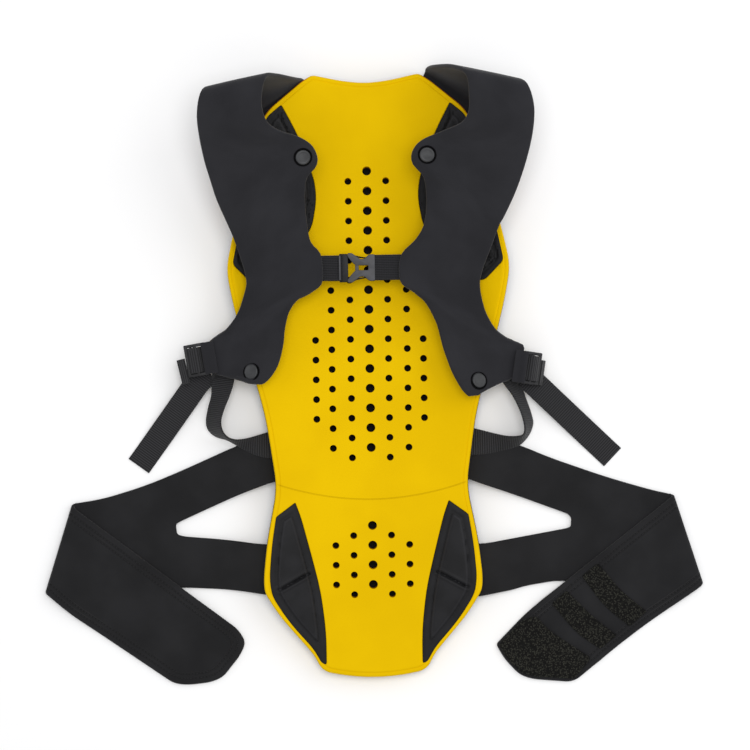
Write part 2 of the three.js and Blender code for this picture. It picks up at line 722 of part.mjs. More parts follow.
function rectangle(centreX, centreY, width, height) {
  const [w, h] = [width / 2, height / 2];
  return [
    new THREE.Vector2(centreX - w, centreY - h),
    new THREE.Vector2(centreX + w, centreY - h),
    new THREE.Vector2(centreX + w, centreY + h),
    new THREE.Vector2(centreX - w, centreY + h),
  ];
}

function adjuster(side) {
  const plate = rectangle(0, 0, ADJUSTER_LENGTH, ADJUSTER_WIDTH);
  let frame = toSolid(prism(plate, -BAR_HALF, BAR_HALF));
  for (const sign of [-1, 1]) {
    const slot = rectangle(sign * BAR_PITCH / 2, 0, ADJUSTER_SLOT, WEB_WIDTH + 2 * SOFT_GAP);
    frame = frame.subtract(toSolid(prism(slot, -ADJUSTER_BAR, ADJUSTER_BAR)));
  }
  return mirrored(toGeometry(frame).applyMatrix4(adjusterMatrix(side)), side);
}

function releaseTab(side) {
  const start = ADJUSTER_LENGTH / 2 + GAP;
  const tab = new THREE.BoxGeometry(TAB_LENGTH, WEB_WIDTH, TAB_THICKNESS);
  tab.translate(start + TAB_LENGTH / 2, 0, 0).applyMatrix4(adjusterMatrix(side));
  return mirrored(toGeometry(toSolid(tab)), side);
}

function strapEdge([x, y, z], side) {
  const point = lay(flapPoint([x, y, z]), side);
  point.x *= side;
  return point;
}

function sideStrap(side) {
  const matrix = adjusterMatrix(side);
  const rows = SIDE_STRAP_RUN.map((row) => [strapEdge(row.neck, side), strapEdge(row.far, side)]);
  for (const step of THREAD_PATH) {
    rows.push([WEB_WIDTH / 2, -WEB_WIDTH / 2].map(
      (y) => new THREE.Vector3(step.along, y, step.height).applyMatrix4(matrix),
    ));
  }
  const [length, degrees] = side === LEFT
    ? [LEFT_TAIL_LENGTH, LEFT_TAIL_ANGLE]
    : [RIGHT_TAIL_LENGTH, RIGHT_TAIL_ANGLE];
  const angle = THREE.MathUtils.degToRad(degrees);
  const along = new THREE.Vector3(Math.cos(angle), -Math.sin(angle), 0);
  const width = new THREE.Vector3(Math.sin(angle), Math.cos(angle), 0).multiplyScalar(WEB_WIDTH / 2);
  const start = strapEdge([TAIL_START.x, TAIL_START.y, 0], side);
  const drop = matrix.elements[14];
  for (const step of TAIL_SECTIONS) {
    const centre = start.clone().addScaledVector(along, step.along * length);
    centre.z = WEB_THICKNESS / 2 + FLOOR_GAP + step.height * drop;
    rows.push([centre.clone().add(width), centre.clone().sub(width)]);
  }
  return mirrored(sheet(rows, WEB_THICKNESS), side);
}

// How far out the bend's corners lie, so that its round clears the bar's edges
const BEND_CORNER = 0.88;
const BACK_TUCK = 0.5 * WEB_WIDTH;
const LEFT_STRAP_START = -0.42 * FLAP_SPAN;
const RIGHT_STRAP_START = 0.34 * FLAP_SPAN;

// A chest strap from under its flap, round the buckle's end bar and back under itself
function chestStrap(flapEnd, barX, direction) {
  const bend = BUCKLE_BAR / 2 + GAP + WEB_THICKNESS / 2;
  const path = [
    [flapEnd, bend],
    [barX, bend],
    [barX + direction * BEND_CORNER * bend, BEND_CORNER * bend],
    [barX + direction * bend, 0],
    [barX + direction * BEND_CORNER * bend, -BEND_CORNER * bend],
    [barX, -bend],
    [barX - direction * BACK_TUCK, -bend],
  ];
  const rows = path.map(([x, z]) => [WEB_WIDTH / 2, -WEB_WIDTH / 2].map(
    (y) => new THREE.Vector3(x, CHEST_LINE + y, CHEST_HEIGHT + z),
  ));
  return sheet(rows, WEB_THICKNESS);
}

const BUCKLE_HALF = WEB_WIDTH / 2 + 2;
const MALE_START = BUCKLE_CENTRE - BUCKLE_LENGTH / 2;
const FEMALE_END = BUCKLE_CENTRE + BUCKLE_LENGTH / 2;
const BUCKLE_OPENING = WEB_WIDTH + 2 * SOFT_GAP;

// A prism of the buckle, evenly about the chest strap's mid height
function bucklePlate(outline, thickness) {
  const plate = prism(outline, -thickness / 2, thickness / 2);
  return toSolid(plate.translate(0, CHEST_LINE, CHEST_HEIGHT));
}

// A bar at one end of the buckle for the strap, thinned to the bar's size, and its slot
function withStrapBar(body, end, direction) {
  const slotCentre = end + direction * (BUCKLE_BAR + BUCKLE_SLOT / 2);
  const slot = bucklePlate(rectangle(slotCentre, 0, BUCKLE_SLOT, BUCKLE_OPENING), 2 * BUCKLE_THICKNESS);
  const barZone = rectangle(end + direction * BUCKLE_BAR / 2, 0, 2 * BUCKLE_BAR, BUCKLE_OPENING);
  const thinned = bucklePlate(barZone, 2 * BUCKLE_THICKNESS).subtract(bucklePlate(barZone, BUCKLE_BAR));
  return body.subtract(slot).subtract(thinned);
}

// Half outlines of the buckle's halves: x along the buckle from the male end, y from its middle
// line, as shares of its length and half width
const MALE_OUTLINE = [
  { x: 0, y: 1 },
  { x: 0.36, y: 1 },
  { x: 0.5, y: 0.62 },
  { x: 0.72, y: 0.78 },
  { x: 0.72, y: 0.5 },
  { x: 0.36, y: 0.35 },
  { x: 0.36, y: 0.12 },
  { x: 0.72, y: 0.12 },
];
const FEMALE_OUTLINE = [
  { x: 1, y: 1 },
  { x: 0.7, y: 1 },
  { x: 0.62, y: 0.85 },
  { x: 0.42, y: 0.95 },
  { x: 0.56, y: 0 },
];

function buckleOutline(rows) {
  const place = (row, sign) => new THREE.Vector2(
    MALE_START + row.x * BUCKLE_LENGTH,
    sign * row.y * BUCKLE_HALF,
  );
  const lower = rows.filter((row) => row.y > 0).map((row) => place(row, -1)).reverse();
  return anticlockwise([...rows.map((row) => place(row, 1)), ...lower]);
}

function buckleMale() {
  const thickness = BUCKLE_THICKNESS - 2 * BUCKLE_RIM - 2 * GAP;
  const body = bucklePlate(buckleOutline(MALE_OUTLINE), thickness);
  return toGeometry(withStrapBar(body, MALE_START, 1));
}

function buckleFemale() {
  const body = bucklePlate(buckleOutline(FEMALE_OUTLINE), BUCKLE_THICKNESS);
  const depth = 0.37 * BUCKLE_LENGTH;
  const mouth = rectangle(MALE_START + 0.75 * BUCKLE_LENGTH - depth / 2, 0, depth, 3 * BUCKLE_HALF);
  const hollow = bucklePlate(mouth, BUCKLE_THICKNESS - 2 * BUCKLE_RIM);
  return toGeometry(withStrapBar(body.subtract(hollow), FEMALE_END, -1));
}

const model = new THREE.Group();

function addPiece(name, geometry, finish) {
  const mesh = new THREE.Mesh(geometry, new THREE.MeshStandardMaterial(FINISH[finish]));
  mesh.name = name;
  model.add(mesh);
}

addPiece('back_plate', backPlate(), 'foam');
addPiece('back_cover', backCover(), 'cover');
for (const { side, name } of SIDES) {
  addPiece(`scapula_pad_${name}`, toGeometry(pad(SCAPULA_OUTLINE, side)), 'pad');
  addPiece(`lumbar_pad_${name}`, toGeometry(pad(LUMBAR_OUTLINE, side)), 'pad');
  const flap = sheet(flapRows(side), FLAP_THICKNESS);
  addPiece(`shoulder_flap_${name}`, flap, 'fabric');
  for (const snap of SNAPS) {
    const place = lay(flapPoint([snap.x, snap.y, 0]), side);
    const seat = seatOn(flap, place.x, place.y, SNAP_DIAMETER / 2);
    const turn = new THREE.Quaternion().setFromUnitVectors(new THREE.Vector3(0, 0, 1), seat.normal);
    const cap = toGeometry(toSolid(snapCap())).applyQuaternion(turn);
    const foot = seat.point.clone().addScaledVector(seat.normal, SEAT_GAP);
    addPiece(`snap_${snap.name}_${name}`, cap.translate(foot.x, foot.y, foot.z), 'plastic');
  }
  addPiece(`adjuster_${name}`, adjuster(side), 'plastic');
  addPiece(`release_tab_${name}`, releaseTab(side), 'webbing');
  addPiece(`side_strap_${name}`, sideStrap(side), 'webbing');
  const wing = beltWing(side);
  addPiece(`belt_${name}`, wing, 'fabric');
  if (side === RIGHT) {
    HOOK_PATCHES.forEach((row) => addPiece(`hook_patch_${row.name}`, hookPatch(row, wing), 'hook'));
  }
}
addPiece('chest_strap_left', chestStrap(LEFT_STRAP_START, MALE_START + BUCKLE_BAR / 2, 1), 'webbing');
addPiece('chest_strap_right', chestStrap(RIGHT_STRAP_START, FEMALE_END - BUCKLE_BAR / 2, -1), 'webbing');
addPiece('buckle_male', buckleMale(), 'plastic');
addPiece('buckle_female', buckleFemale(), 'plastic');

export default model;
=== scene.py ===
"""Dressed model of a back protector with shoulder flaps and a waist belt.

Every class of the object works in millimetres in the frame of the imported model, and a finished
mesh is scaled to metres once, when it becomes a piece. Materials and the studio are in metres.
"""

import logging
import math
from dataclasses import dataclass, field
from enum import Enum
from typing import Callable, Optional, Sequence, Union

import bmesh
import bpy
import numpy
from mathutils import Matrix, Vector
from mathutils.bvhtree import BVHTree


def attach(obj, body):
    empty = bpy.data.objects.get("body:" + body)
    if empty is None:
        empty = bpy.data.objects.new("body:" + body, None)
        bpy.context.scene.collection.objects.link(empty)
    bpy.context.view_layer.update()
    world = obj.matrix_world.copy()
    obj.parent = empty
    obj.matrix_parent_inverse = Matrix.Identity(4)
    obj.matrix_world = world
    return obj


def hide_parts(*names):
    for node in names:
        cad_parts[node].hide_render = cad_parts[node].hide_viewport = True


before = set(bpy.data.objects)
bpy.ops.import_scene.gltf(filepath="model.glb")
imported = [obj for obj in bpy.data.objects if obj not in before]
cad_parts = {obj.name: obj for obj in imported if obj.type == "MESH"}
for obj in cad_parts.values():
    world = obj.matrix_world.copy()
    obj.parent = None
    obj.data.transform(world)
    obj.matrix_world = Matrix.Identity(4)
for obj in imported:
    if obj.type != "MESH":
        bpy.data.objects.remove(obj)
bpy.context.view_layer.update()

LOG = logging.getLogger("back_protector")

MM = 0.001
BODY = "root"
Corner = tuple[float, float, float]
Colour = tuple[float, float, float]
Flat = tuple[float, float]
Mesh = bmesh.types.BMesh
Edges = list[bmesh.types.BMEdge]
Piece = bpy.types.Object
Material = bpy.types.Material
Value = Union["Wire", float]


def face_outwards(mesh: Mesh) -> None:
    """Turns all faces of a mesh outwards."""
    bmesh.ops.recalc_face_normals(mesh, faces=mesh.faces)


class Side(Enum):
    """A side of the wearer's back as seen from above, and its sign along x."""

    LEFT = -1
    RIGHT = 1

    @property
    def label(self) -> str:
        """The side's name in node names."""
        return self.name.lower()

    def lay_out(self, mesh: Mesh) -> None:
        """Mirrors a mesh that was built on the right if this is the left side.

        Args:
            mesh: The mesh.
        """
        if self is Side.LEFT:
            bmesh.ops.scale(mesh, vec=(-1, 1, 1), verts=mesh.verts)
        face_outwards(mesh)


class Layout(Enum):
    """The coordinates that a pattern follows."""

    OBJECT = "object"
    CUT = "cut"
    HEM = "hem"


def linear(red: int, green: int, blue: int) -> Colour:
    """Turns a display colour into a linear one.

    Args:
        red: Red from 0 to 255.
        green: Green from 0 to 255.
        blue: Blue from 0 to 255.

    Returns:
        The colour's three linear parts.
    """
    parts = [value / 255 for value in (red, green, blue)]
    return tuple(p / 12.92 if p <= 0.04045 else ((p + 0.055) / 1.055) ** 2.4 for p in parts)


def smooth_step(low: float, high: float, value: float) -> float:
    """Eases from 0 at low to 1 at high.

    Args:
        low: Where the step starts.
        high: Where the step ends; it may be below low.
        value: Where the step is read.

    Returns:
        The step's height.
    """
    share = min(1.0, max(0.0, (value - low) / (high - low)))
    return share * share * (3 - 2 * share)


def spline(rows: Sequence[Sequence[float]], place: float) -> list[float]:
    """Reads a smooth curve that passes through rows of numbers.

    Args:
        rows: The rows, all of one length.
        place: The row number, whole or between two rows.

    Returns:
        The numbers at that place.
    """
    last = len(rows) - 1
    first = min(last - 1, max(0, int(math.floor(place))))
    t = place - first
    a, b, c, d = (rows[min(last, max(0, first + k))] for k in (-1, 0, 1, 2))
    weights = (
        0.5 * (-t + 2 * t * t - t**3),
        0.5 * (2 - 5 * t * t + 3 * t**3),
        0.5 * (t + 4 * t * t - 3 * t**3),
        0.5 * (-t * t + t**3),
    )
    return [sum(w * row[k] for w, row in zip(weights, (a, b, c, d))) for k in range(len(b))]


class Wire:
    """A node's output that takes part in sums written as Python expressions."""

    def __init__(self, board: "Board", socket: bpy.types.NodeSocket) -> None:
        """Keeps the socket and the board that new nodes go on."""
        self.board = board
        self.socket = socket

    def __add__(self, other: Value) -> "Wire":
        """Adds a value."""
        return self.board.maths("ADD", self, other)

    def __radd__(self, other: float) -> "Wire":
        """Is added to a number."""
        return self.board.maths("ADD", other, self)

    def __sub__(self, other: Value) -> "Wire":
        """Takes a value away."""
        return self.board.maths("SUBTRACT", self, other)

    def __rsub__(self, other: float) -> "Wire":
        """Is taken away from a number."""
        return self.board.maths("SUBTRACT", other, self)

    def __mul__(self, other: Value) -> "Wire":
        """Multiplies by a value."""
        return self.board.maths("MULTIPLY", self, other)

    def __rmul__(self, other: float) -> "Wire":
        """Multiplies a number."""
        return self.board.maths("MULTIPLY", other, self)

    def absolute(self) -> "Wire":
        """The value without its sign."""
        return self.board.maths("ABSOLUTE", self)

    def wave(self, pitch: float) -> "Wire":
        """A sine wave along the value, which is in metres, with a pitch in millimetres."""
        return self.board.maths("SINE", self * (2 * math.pi / (pitch * MM)))

    def step(self, low: float, high: float) -> "Wire":
        """Eases from 0 to 1 as the value goes from low to high.

        Args:
            low: The value at 0.
            high: The value at 1.

        Returns:
            The eased value.
        """
        settings = {"interpolation_type": "SMOOTHSTEP", "clamp": True}
        values = {"Value": self, "From Min": low, "From Max": high}
        return self.board.node("ShaderNodeMapRange", settings, values)


class Board:
    """A material's node tree, with one way to add any node."""

    def __init__(self, name: str) -> None:
        """Makes the material and clears its tree."""
        self.material = bpy.data.materials.new(name)
        self.material.use_nodes = True
        self.tree = self.material.node_tree
        self.tree.nodes.clear()

    def node(self, kind: str, settings: Optional[dict] = None, values: Optional[dict] = None,
             output: Union[int, str] = 0) -> Wire:
        """Adds a node.

        Args:
            kind: The node's type.
            settings: Its properties, set first.
            values: Its sockets' values or wires, by name or number.
            output: The output that is returned.

        Returns:
            The chosen output.
        """
        node = self.tree.nodes.new(kind)
        for key, value in (settings or {}).items():
            setattr(node, key, value)
        for key, value in (values or {}).items():
            if isinstance(value, Wire):
                self.tree.links.new(value.socket, node.inputs[key])
            else:
                node.inputs[key].default_value = value
        return Wire(self, node.outputs[output]) if len(node.outputs) else Wire(self, None)

    def maths(self, operation: str, *values: Value) -> Wire:
        """Adds a Math node over the given values."""
        return self.node("ShaderNodeMath", {"operation": operation}, dict(enumerate(values)))

    def place(self, layout: Layout) -> tuple[Wire, Wire, Wire, Wire]:
        """Reads the pattern's coordinates in metres.

        Args:
            layout: The coordinates that the pattern follows.

        Returns:
            The vector and its three parts.
        """
        if layout is Layout.OBJECT:
            point = self.node("ShaderNodeTexCoord", output="Object")
        else:
            point = self.node("ShaderNodeUVMap", {"uv_map": layout.value})
        parts = [self.node("ShaderNodeSeparateXYZ", values={0: point}, output=k) for k in range(3)]
        return (point, *parts)

    def noise(self, point: Wire, size: float, detail: float = 2.0, rough: float = 0.5) -> Wire:
        """Adds a noise pattern.

        Args:
            point: Its coordinates in metres.
            size: The size of its spots in millimetres.
            detail: How many finer layers it has.
            rough: How strong the finer layers are.

        Returns:
            Its value from 0 to 1.
        """
        values = {"Vector": point, "Scale": 1 / (size * MM), "Detail": detail, "Roughness": rough}
        return self.node("ShaderNodeTexNoise", values=values)

    def blend(self, share: Value, first: Union[Wire, Colour], second: Union[Wire, Colour]) -> Wire:
        """Mixes two colours.

        Args:
            share: How much of the second colour.
            first: The first colour.
            second: The second colour.

        Returns:
            The mixed colour.
        """
        full = {6: first, 7: second}
        values = {k: v if isinstance(v, Wire) else (*v, 1.0) for k, v in full.items()}
        return self.node("ShaderNodeMix", {"data_type": "RGBA"}, {0: share, **values}, output=2)

    def relief(self, height: Wire, depth: float, under: Optional[Wire] = None) -> Wire:
        """Adds a bump.

        Args:
            height: The height from 0 to 1.
            depth: How many millimetres a height of 1 is.
            under: A bump that lies under this one.

        Returns:
            The bumped normal.
        """
        values = {"Height": height, "Distance": depth * MM, "Strength": 1.0}
        if under is not None:
            values["Normal"] = under
        return self.node("ShaderNodeBump", values=values)

    def finish(self, colour: Wire, roughness: Value, normal: Optional[Wire] = None,
               constants: Optional[dict] = None) -> Material:
        """Adds the shader and the output.

        Args:
            colour: The base colour.
            roughness: The roughness.
            normal: The bumped normal.
            constants: Values that are the same all over, by socket name.

        Returns:
            The material.
        """
        values = {"Base Color": colour, "Roughness": roughness, **(constants or {})}
        if normal is not None:
            values["Normal"] = normal
        shader = self.node("ShaderNodeBsdfPrincipled", values=values)
        self.node("ShaderNodeOutputMaterial", values={"Surface": shader})
        return self.material


@dataclass(frozen=True)
class FoamFinish:
    """Bright closed-cell foam with a skin, pressed lines darkened with painted shade, and slightly
    darker cut faces.
    """

    name: str = "bright_foam"
    bright: Colour = linear(225, 184, 1)
    deep: Colour = linear(211, 169, 0)
    cut: Colour = linear(176, 84, 12)
    # The line colour is painted shade along the pressed crease.
    line: Colour = linear(150, 106, 0)
    crease_rise: float = 1.95
    crease_depth: float = -0.116
    crease_width: float = 0.0011
    crease_end: Flat = (0.086, 0.092)
    rim_width: Flat = (0.0007, 0.0012)
    neck: Flat = (0.148, 0.152)
    neck_side: Flat = (0.052, 0.056)

    def material(self) -> Material:
        """Builds the material."""
        board = Board(self.name)
        point, x, y, _ = board.place(Layout.OBJECT)
        cells = board.noise(point, 1.1, 3.0, 0.6)
        cloud = board.noise(point, 60.0, 2.0)
        crease = (y - (x * x * self.crease_rise + self.crease_depth)).absolute()
        inside = 1 - x.absolute().step(*self.crease_end)
        line = (1 - crease.step(0.0, self.crease_width)) * inside
        colour = board.blend(cloud.step(0.3, 0.7) * 0.45, self.bright, self.deep)
        # Painted shade: the pressed crease line is darkened towards the line colour.
        colour = board.blend(line * 0.25, colour, self.line)
        _, rim, _, _ = board.place(Layout.HEM)
        shoulder = y.step(*self.neck) * x.absolute().step(*self.neck_side)
        slope = (1 - rim.step(*self.rim_width)) * shoulder
        colour = board.blend(slope * 0.8, colour, self.cut)
        roughness = 0.62 + cells * 0.16
        height = cells * 0.08 + (1 - line) * 0.5
        normal = board.relief(height, 0.8)
        return board.finish(colour, roughness, normal, {"Specular IOR Level": 0.03})


@dataclass(frozen=True)
class ClothFinish:
    """A dull woven or knitted cloth, with stitched hem lines where its piece measures them."""

    name: str
    colour: Colour
    light: Colour
    layout: Layout = Layout.CUT
    pitch: float = 0.9
    depth: float = 0.12
    roughness: float = 0.85
    sheen: float = 0.12
    hems: tuple[float, ...] = ()
    stitch: float = 3.4
    groove_width: Flat = (0.0004, 0.0016)
    thread_width: Flat = (0.0002, 0.0005)
    shade: Colour = linear(14, 14, 15)

    def material(self) -> Material:
        """Builds the material."""
        board = Board(self.name)
        point, x, y, _ = board.place(self.layout)
        warp = (x.wave(self.pitch) * y.wave(self.pitch)) * 0.5 + 0.5
        fibres = board.noise(point, 0.7, 3.0, 0.65)
        cloud = board.noise(point, 45.0, 3.0)
        share = warp * 0.25 + fibres * 0.3 + cloud.step(0.25, 0.75) * 0.35
        colour = board.blend(share, self.colour, self.light)
        normal = board.relief(warp * 0.6 + fibres * 0.4, self.depth)
        if self.hems:
            colour, normal = self.hemmed(board, colour, normal)
        roughness = self.roughness + (fibres - 0.5) * 0.14
        constants = {"Sheen Weight": self.sheen, "Sheen Roughness": 0.5,
                     "Specular IOR Level": 0.1}
        return board.finish(colour, roughness, normal, constants)

    def hemmed(self, board: Board, colour: Wire, normal: Wire) -> tuple[Wire, Wire]:
        """Presses stitched lines into the cloth, parallel to its edge.

        Args:
            board: The material's node tree.
            colour: The cloth's colour.
            normal: The cloth's relief.

        Returns:
            The colour and the relief with the lines.
        """
        _, away, run, _ = board.place(Layout.HEM)
        dash = run.wave(self.stitch).step(-0.5, 0.1)
        groove, thread = 0.0, 0.0
        for place in self.hems:
            gap = (away - place * MM).absolute()
            groove = (1 - gap.step(*self.groove_width)) + groove
            thread = (1 - gap.step(*self.thread_width)) * dash + thread
        colour = board.blend(groove * 0.5, colour, self.shade)
        colour = board.blend(thread * 0.5, colour, self.light)
        return colour, board.relief(1 - groove + thread * 0.4, 0.9, normal)


@dataclass(frozen=True)
class WebbingFinish:
    """Narrow woven webbing with ribs across it or cords along it, with painted highlights on their
    crests and painted shade between them.
    """

    name: str = "ribbed_webbing"
    colour: Colour = linear(6, 6, 7)
    light: Colour = linear(60, 60, 63)
    rib: float = 2.15
    cord: float = 1.6
    share: float = 0.85
    depth: float = 0.6

    def material(self) -> Material:
        """Builds the material."""
        board = Board(self.name)
        point, x, y, _ = board.place(Layout.CUT)
        ribs = y.wave(self.rib) * 0.5 + 0.5
        cords = x.wave(self.cord) * 0.5 + 0.5
        weave = ribs * self.share + cords * (1 - self.share)
        fibres = board.noise(point, 0.6, 3.0, 0.6)
        # Painted light: the weave lightens the crests and darkens the hollows between them; the
        # fibres vary the tone.
        colour = board.blend(weave * 0.6 + fibres * 0.15, self.colour, self.light)
        normal = board.relief(weave * 0.85 + fibres * 0.15, self.depth)
        roughness = 0.66 + fibres * 0.16
        constants = {"Sheen Weight": 0.1, "Specular IOR Level": 0.22}
        return board.finish(colour, roughness, normal, constants)


@dataclass(frozen=True)
class PlasticFinish:
    """Moulded plastic with a fine grain; where a rim colour is given, painted shade darkens the
    faces that turn away from straight up.
    """

    name: str
    colour: Colour
    light: Colour
    roughness: float = 0.42
    grain: float = 0.05
    gloss: float = 0.4
    # rim is the colour of painted shade on faces that turn away from straight up.
    rim: Optional[Colour] = None

    def material(self) -> Material:
        """Builds the material."""
        board = Board(self.name)
        point, *_ = board.place(Layout.OBJECT)
        grain = board.noise(point, 0.5, 2.0)
        wear = board.noise(point, 7.0, 4.0)
        colour = board.blend(wear.step(0.35, 0.8), self.colour, self.light)
        # Painted shade: faces that turn away from straight up blend into the rim colour.
        if self.rim:
            facing = board.node("ShaderNodeNewGeometry", output="Normal")
            upward = board.node("ShaderNodeSeparateXYZ", values={0: facing}, output="Z")
            colour = board.blend(upward.step(0.7, 0.96), self.rim, colour)
        roughness = self.roughness + wear * 0.16
        normal = board.relief(grain, self.grain)
        return board.finish(colour, roughness, normal, {"Specular IOR Level": self.gloss})


@dataclass(frozen=True)
class PadFinish:
    """Soft moulded pad with a matt grained skin."""

    name: str = "grained_pad"
    colour: Colour = linear(12, 12, 14)
    light: Colour = linear(28, 28, 31)
    shade: Colour = linear(10, 10, 11)
    gleam: Colour = linear(58, 58, 62)
    inset: float = 6.2
    spread: float = 2.4
    channel_width: Flat = (0.0004, 0.0022)
    ridge_width: Flat = (0.0002, 0.0015)

    def material(self) -> Material:
        """Builds the material."""
        board = Board(self.name)
        point, *_ = board.place(Layout.OBJECT)
        grain = board.noise(point, 0.9, 3.0, 0.6)
        cloud = board.noise(point, 20.0, 2.0)
        colour = board.blend(cloud.step(0.3, 0.7) * 0.5 + grain * 0.3, self.colour, self.light)
        _, away, _, _ = board.place(Layout.HEM)
        channel = 1 - (away - self.inset * MM).absolute().step(*self.channel_width)
        ridge = 1 - (away - (self.inset + self.spread) * MM).absolute().step(*self.ridge_width)
        colour = board.blend(channel * 0.3, colour, self.shade)
        colour = board.blend(ridge * 0.2, colour, self.gleam)
        roughness = 0.55 + grain * 0.16
        constants = {"Specular IOR Level": 0.22}
        return board.finish(colour, roughness, board.relief(grain, 0.12), constants)


@dataclass(frozen=True)
class HookFinish:
    """Hook tape: a dense field of short dark hooks."""

    name: str = "hook_tape"
    colour: Colour = linear(7, 7, 6)
    light: Colour = linear(58, 58, 51)
    tuft: float = 1.5

    def material(self) -> Material:
        """Builds the material."""
        board = Board(self.name)
        point, *_ = board.place(Layout.CUT)
        values = {"Vector": point, "Scale": 1 / (self.tuft * MM)}
        tufts = board.node("ShaderNodeTexVoronoi", values=values, output="Distance")
        matted = board.noise(point, 2.6, 5.0, 0.8)
        height = (1 - tufts.step(0.0, 0.8)) * 0.4 + matted * 0.6
        colour = board.blend(height.step(0.36, 0.68) * 0.7, self.colour, self.light)
        return board.finish(colour, 0.9, board.relief(height, 1.1), {"Specular IOR Level": 0.2})


@dataclass(frozen=True)
class FloorFinish:
    """Plain pale floor paint."""

    name: str = "pale_floor"
    colour: Colour = (0.93, 0.93, 0.935)
    shade: float = 0.985

    def material(self) -> Material:
        """Builds the material."""
        board = Board(self.name)
        point, *_ = board.place(Layout.OBJECT)
        cloud = board.noise(point, 400.0, 2.0)
        darker = tuple(self.shade * part for part in self.colour)
        colour = board.blend(cloud, self.colour, darker)
        return board.finish(colour, 0.9, None, {"Specular IOR Level": 0.1})


class Finishes:
    """The materials that the pieces share."""

    def __init__(self) -> None:
        """Builds every material once."""
        self.foam = FoamFinish().material()
        self.cover = ClothFinish("cover_cloth", linear(14, 14, 15), linear(30, 30, 32),
                                 layout=Layout.OBJECT, pitch=1.6, depth=0.2).material()
        self.flap = ClothFinish("flap_cloth", linear(26, 26, 29), linear(48, 48, 52), pitch=0.8,
                                depth=0.1).material()
        self.belt = ClothFinish("belt_cloth", linear(21, 21, 22), linear(42, 42, 44), pitch=1.1,
                                depth=0.16, roughness=0.9, hems=(6.0, 10.4)).material()
        self.webbing = WebbingFinish().material()
        self.corded = WebbingFinish("corded_webbing", light=linear(48, 48, 52),
                                    share=0.15).material()
        self.pad = PadFinish().material()
        self.plastic = PlasticFinish("moulded_plastic", linear(24, 24, 26),
                                     linear(44, 44, 48)).material()
        # The clasp's rim colour paints shade on its sides and bevels.
        self.clasp = PlasticFinish("clasp_plastic", linear(50, 50, 54), linear(68, 68, 73),
                                   rim=linear(9, 9, 10)).material()
        # A darker copy of the buckle plastic: painted shade for the buckle's inner half.
        self.shaded_clasp = PlasticFinish("shaded_clasp_plastic", linear(19, 19, 21),
                                        linear(32, 32, 35), gloss=0.2).material()
        self.cap = PlasticFinish("snap_cap", linear(46, 47, 49), linear(63, 64, 66),
                                 roughness=0.45, grain=0.03).material()
        self.socket = PlasticFinish("snap_socket", linear(5, 5, 6), linear(14, 14, 15),
                                    roughness=0.6, grain=0.03, gloss=0.05).material()
        self.hook = HookFinish().material()


def linked(name: str, data: bpy.types.ID) -> Piece:
    """Makes an object from its data and puts it in the scene.

    Args:
        name: The object's name.
        data: Its mesh, lamp or camera.

    Returns:
        The object.
    """
    made = bpy.data.objects.new(name, data)
    bpy.context.scene.collection.objects.link(made)
    return made


def stood_up(name: str, mesh: Mesh) -> Piece:
    """Makes an object from a mesh.

    Args:
        name: The object's name.
        mesh: Its mesh, which is used up.

    Returns:
        The object.
    """
    data = bpy.data.meshes.new(name)
    mesh.to_mesh(data)
    mesh.free()
    return linked(name, data)


def make_piece(name: str, mesh: Mesh, material: Material,
               nodes: Sequence[str] = (), crease: float = 35.0) -> Piece:
    """Turns a mesh in millimetres into a piece of the object in metres.

    Args:
        name: The piece's name.
        mesh: The mesh, which is used up.
        material: Its material.
        nodes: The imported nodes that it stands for.
        crease: Edges that bend by more degrees than this stay sharp.

    Returns:
        The new object.
    """
    bmesh.ops.scale(mesh, vec=(MM,) * 3, verts=mesh.verts)
    limit = math.radians(crease)
    for face in mesh.faces:
        face.smooth = True
    for edge in mesh.edges:
        edge.smooth = not (edge.is_manifold and edge.calc_face_angle(0.0) > limit)
    piece = stood_up(name, mesh)
    piece.data.materials.append(material)
    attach(piece, BODY)
    if nodes:
        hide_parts(*nodes)
    count = len(piece.data.polygons)
    LOG.info("%s: %d faces, stands for %s", name, count, ", ".join(nodes) or "itself")
    return piece


def taken_up(helper: Piece) -> Mesh:
    """Reads a helper's shape with its modifiers applied, and removes the helper.

    Args:
        helper: The helper object.

    Returns:
        Its finished mesh.
    """
    state = bpy.context.evaluated_depsgraph_get()
    shape = bpy.data.meshes.new_from_object(helper.evaluated_get(state))
    mesh = bmesh.new()
    mesh.from_mesh(shape)
    bpy.data.meshes.remove(shape)
    drop(helper)
    return mesh


def drop(helper: Piece) -> None:
    """Removes a helper object and its mesh.

    Args:
        helper: The helper object.
    """
    data = helper.data
    bpy.data.objects.remove(helper)
    bpy.data.meshes.remove(data)


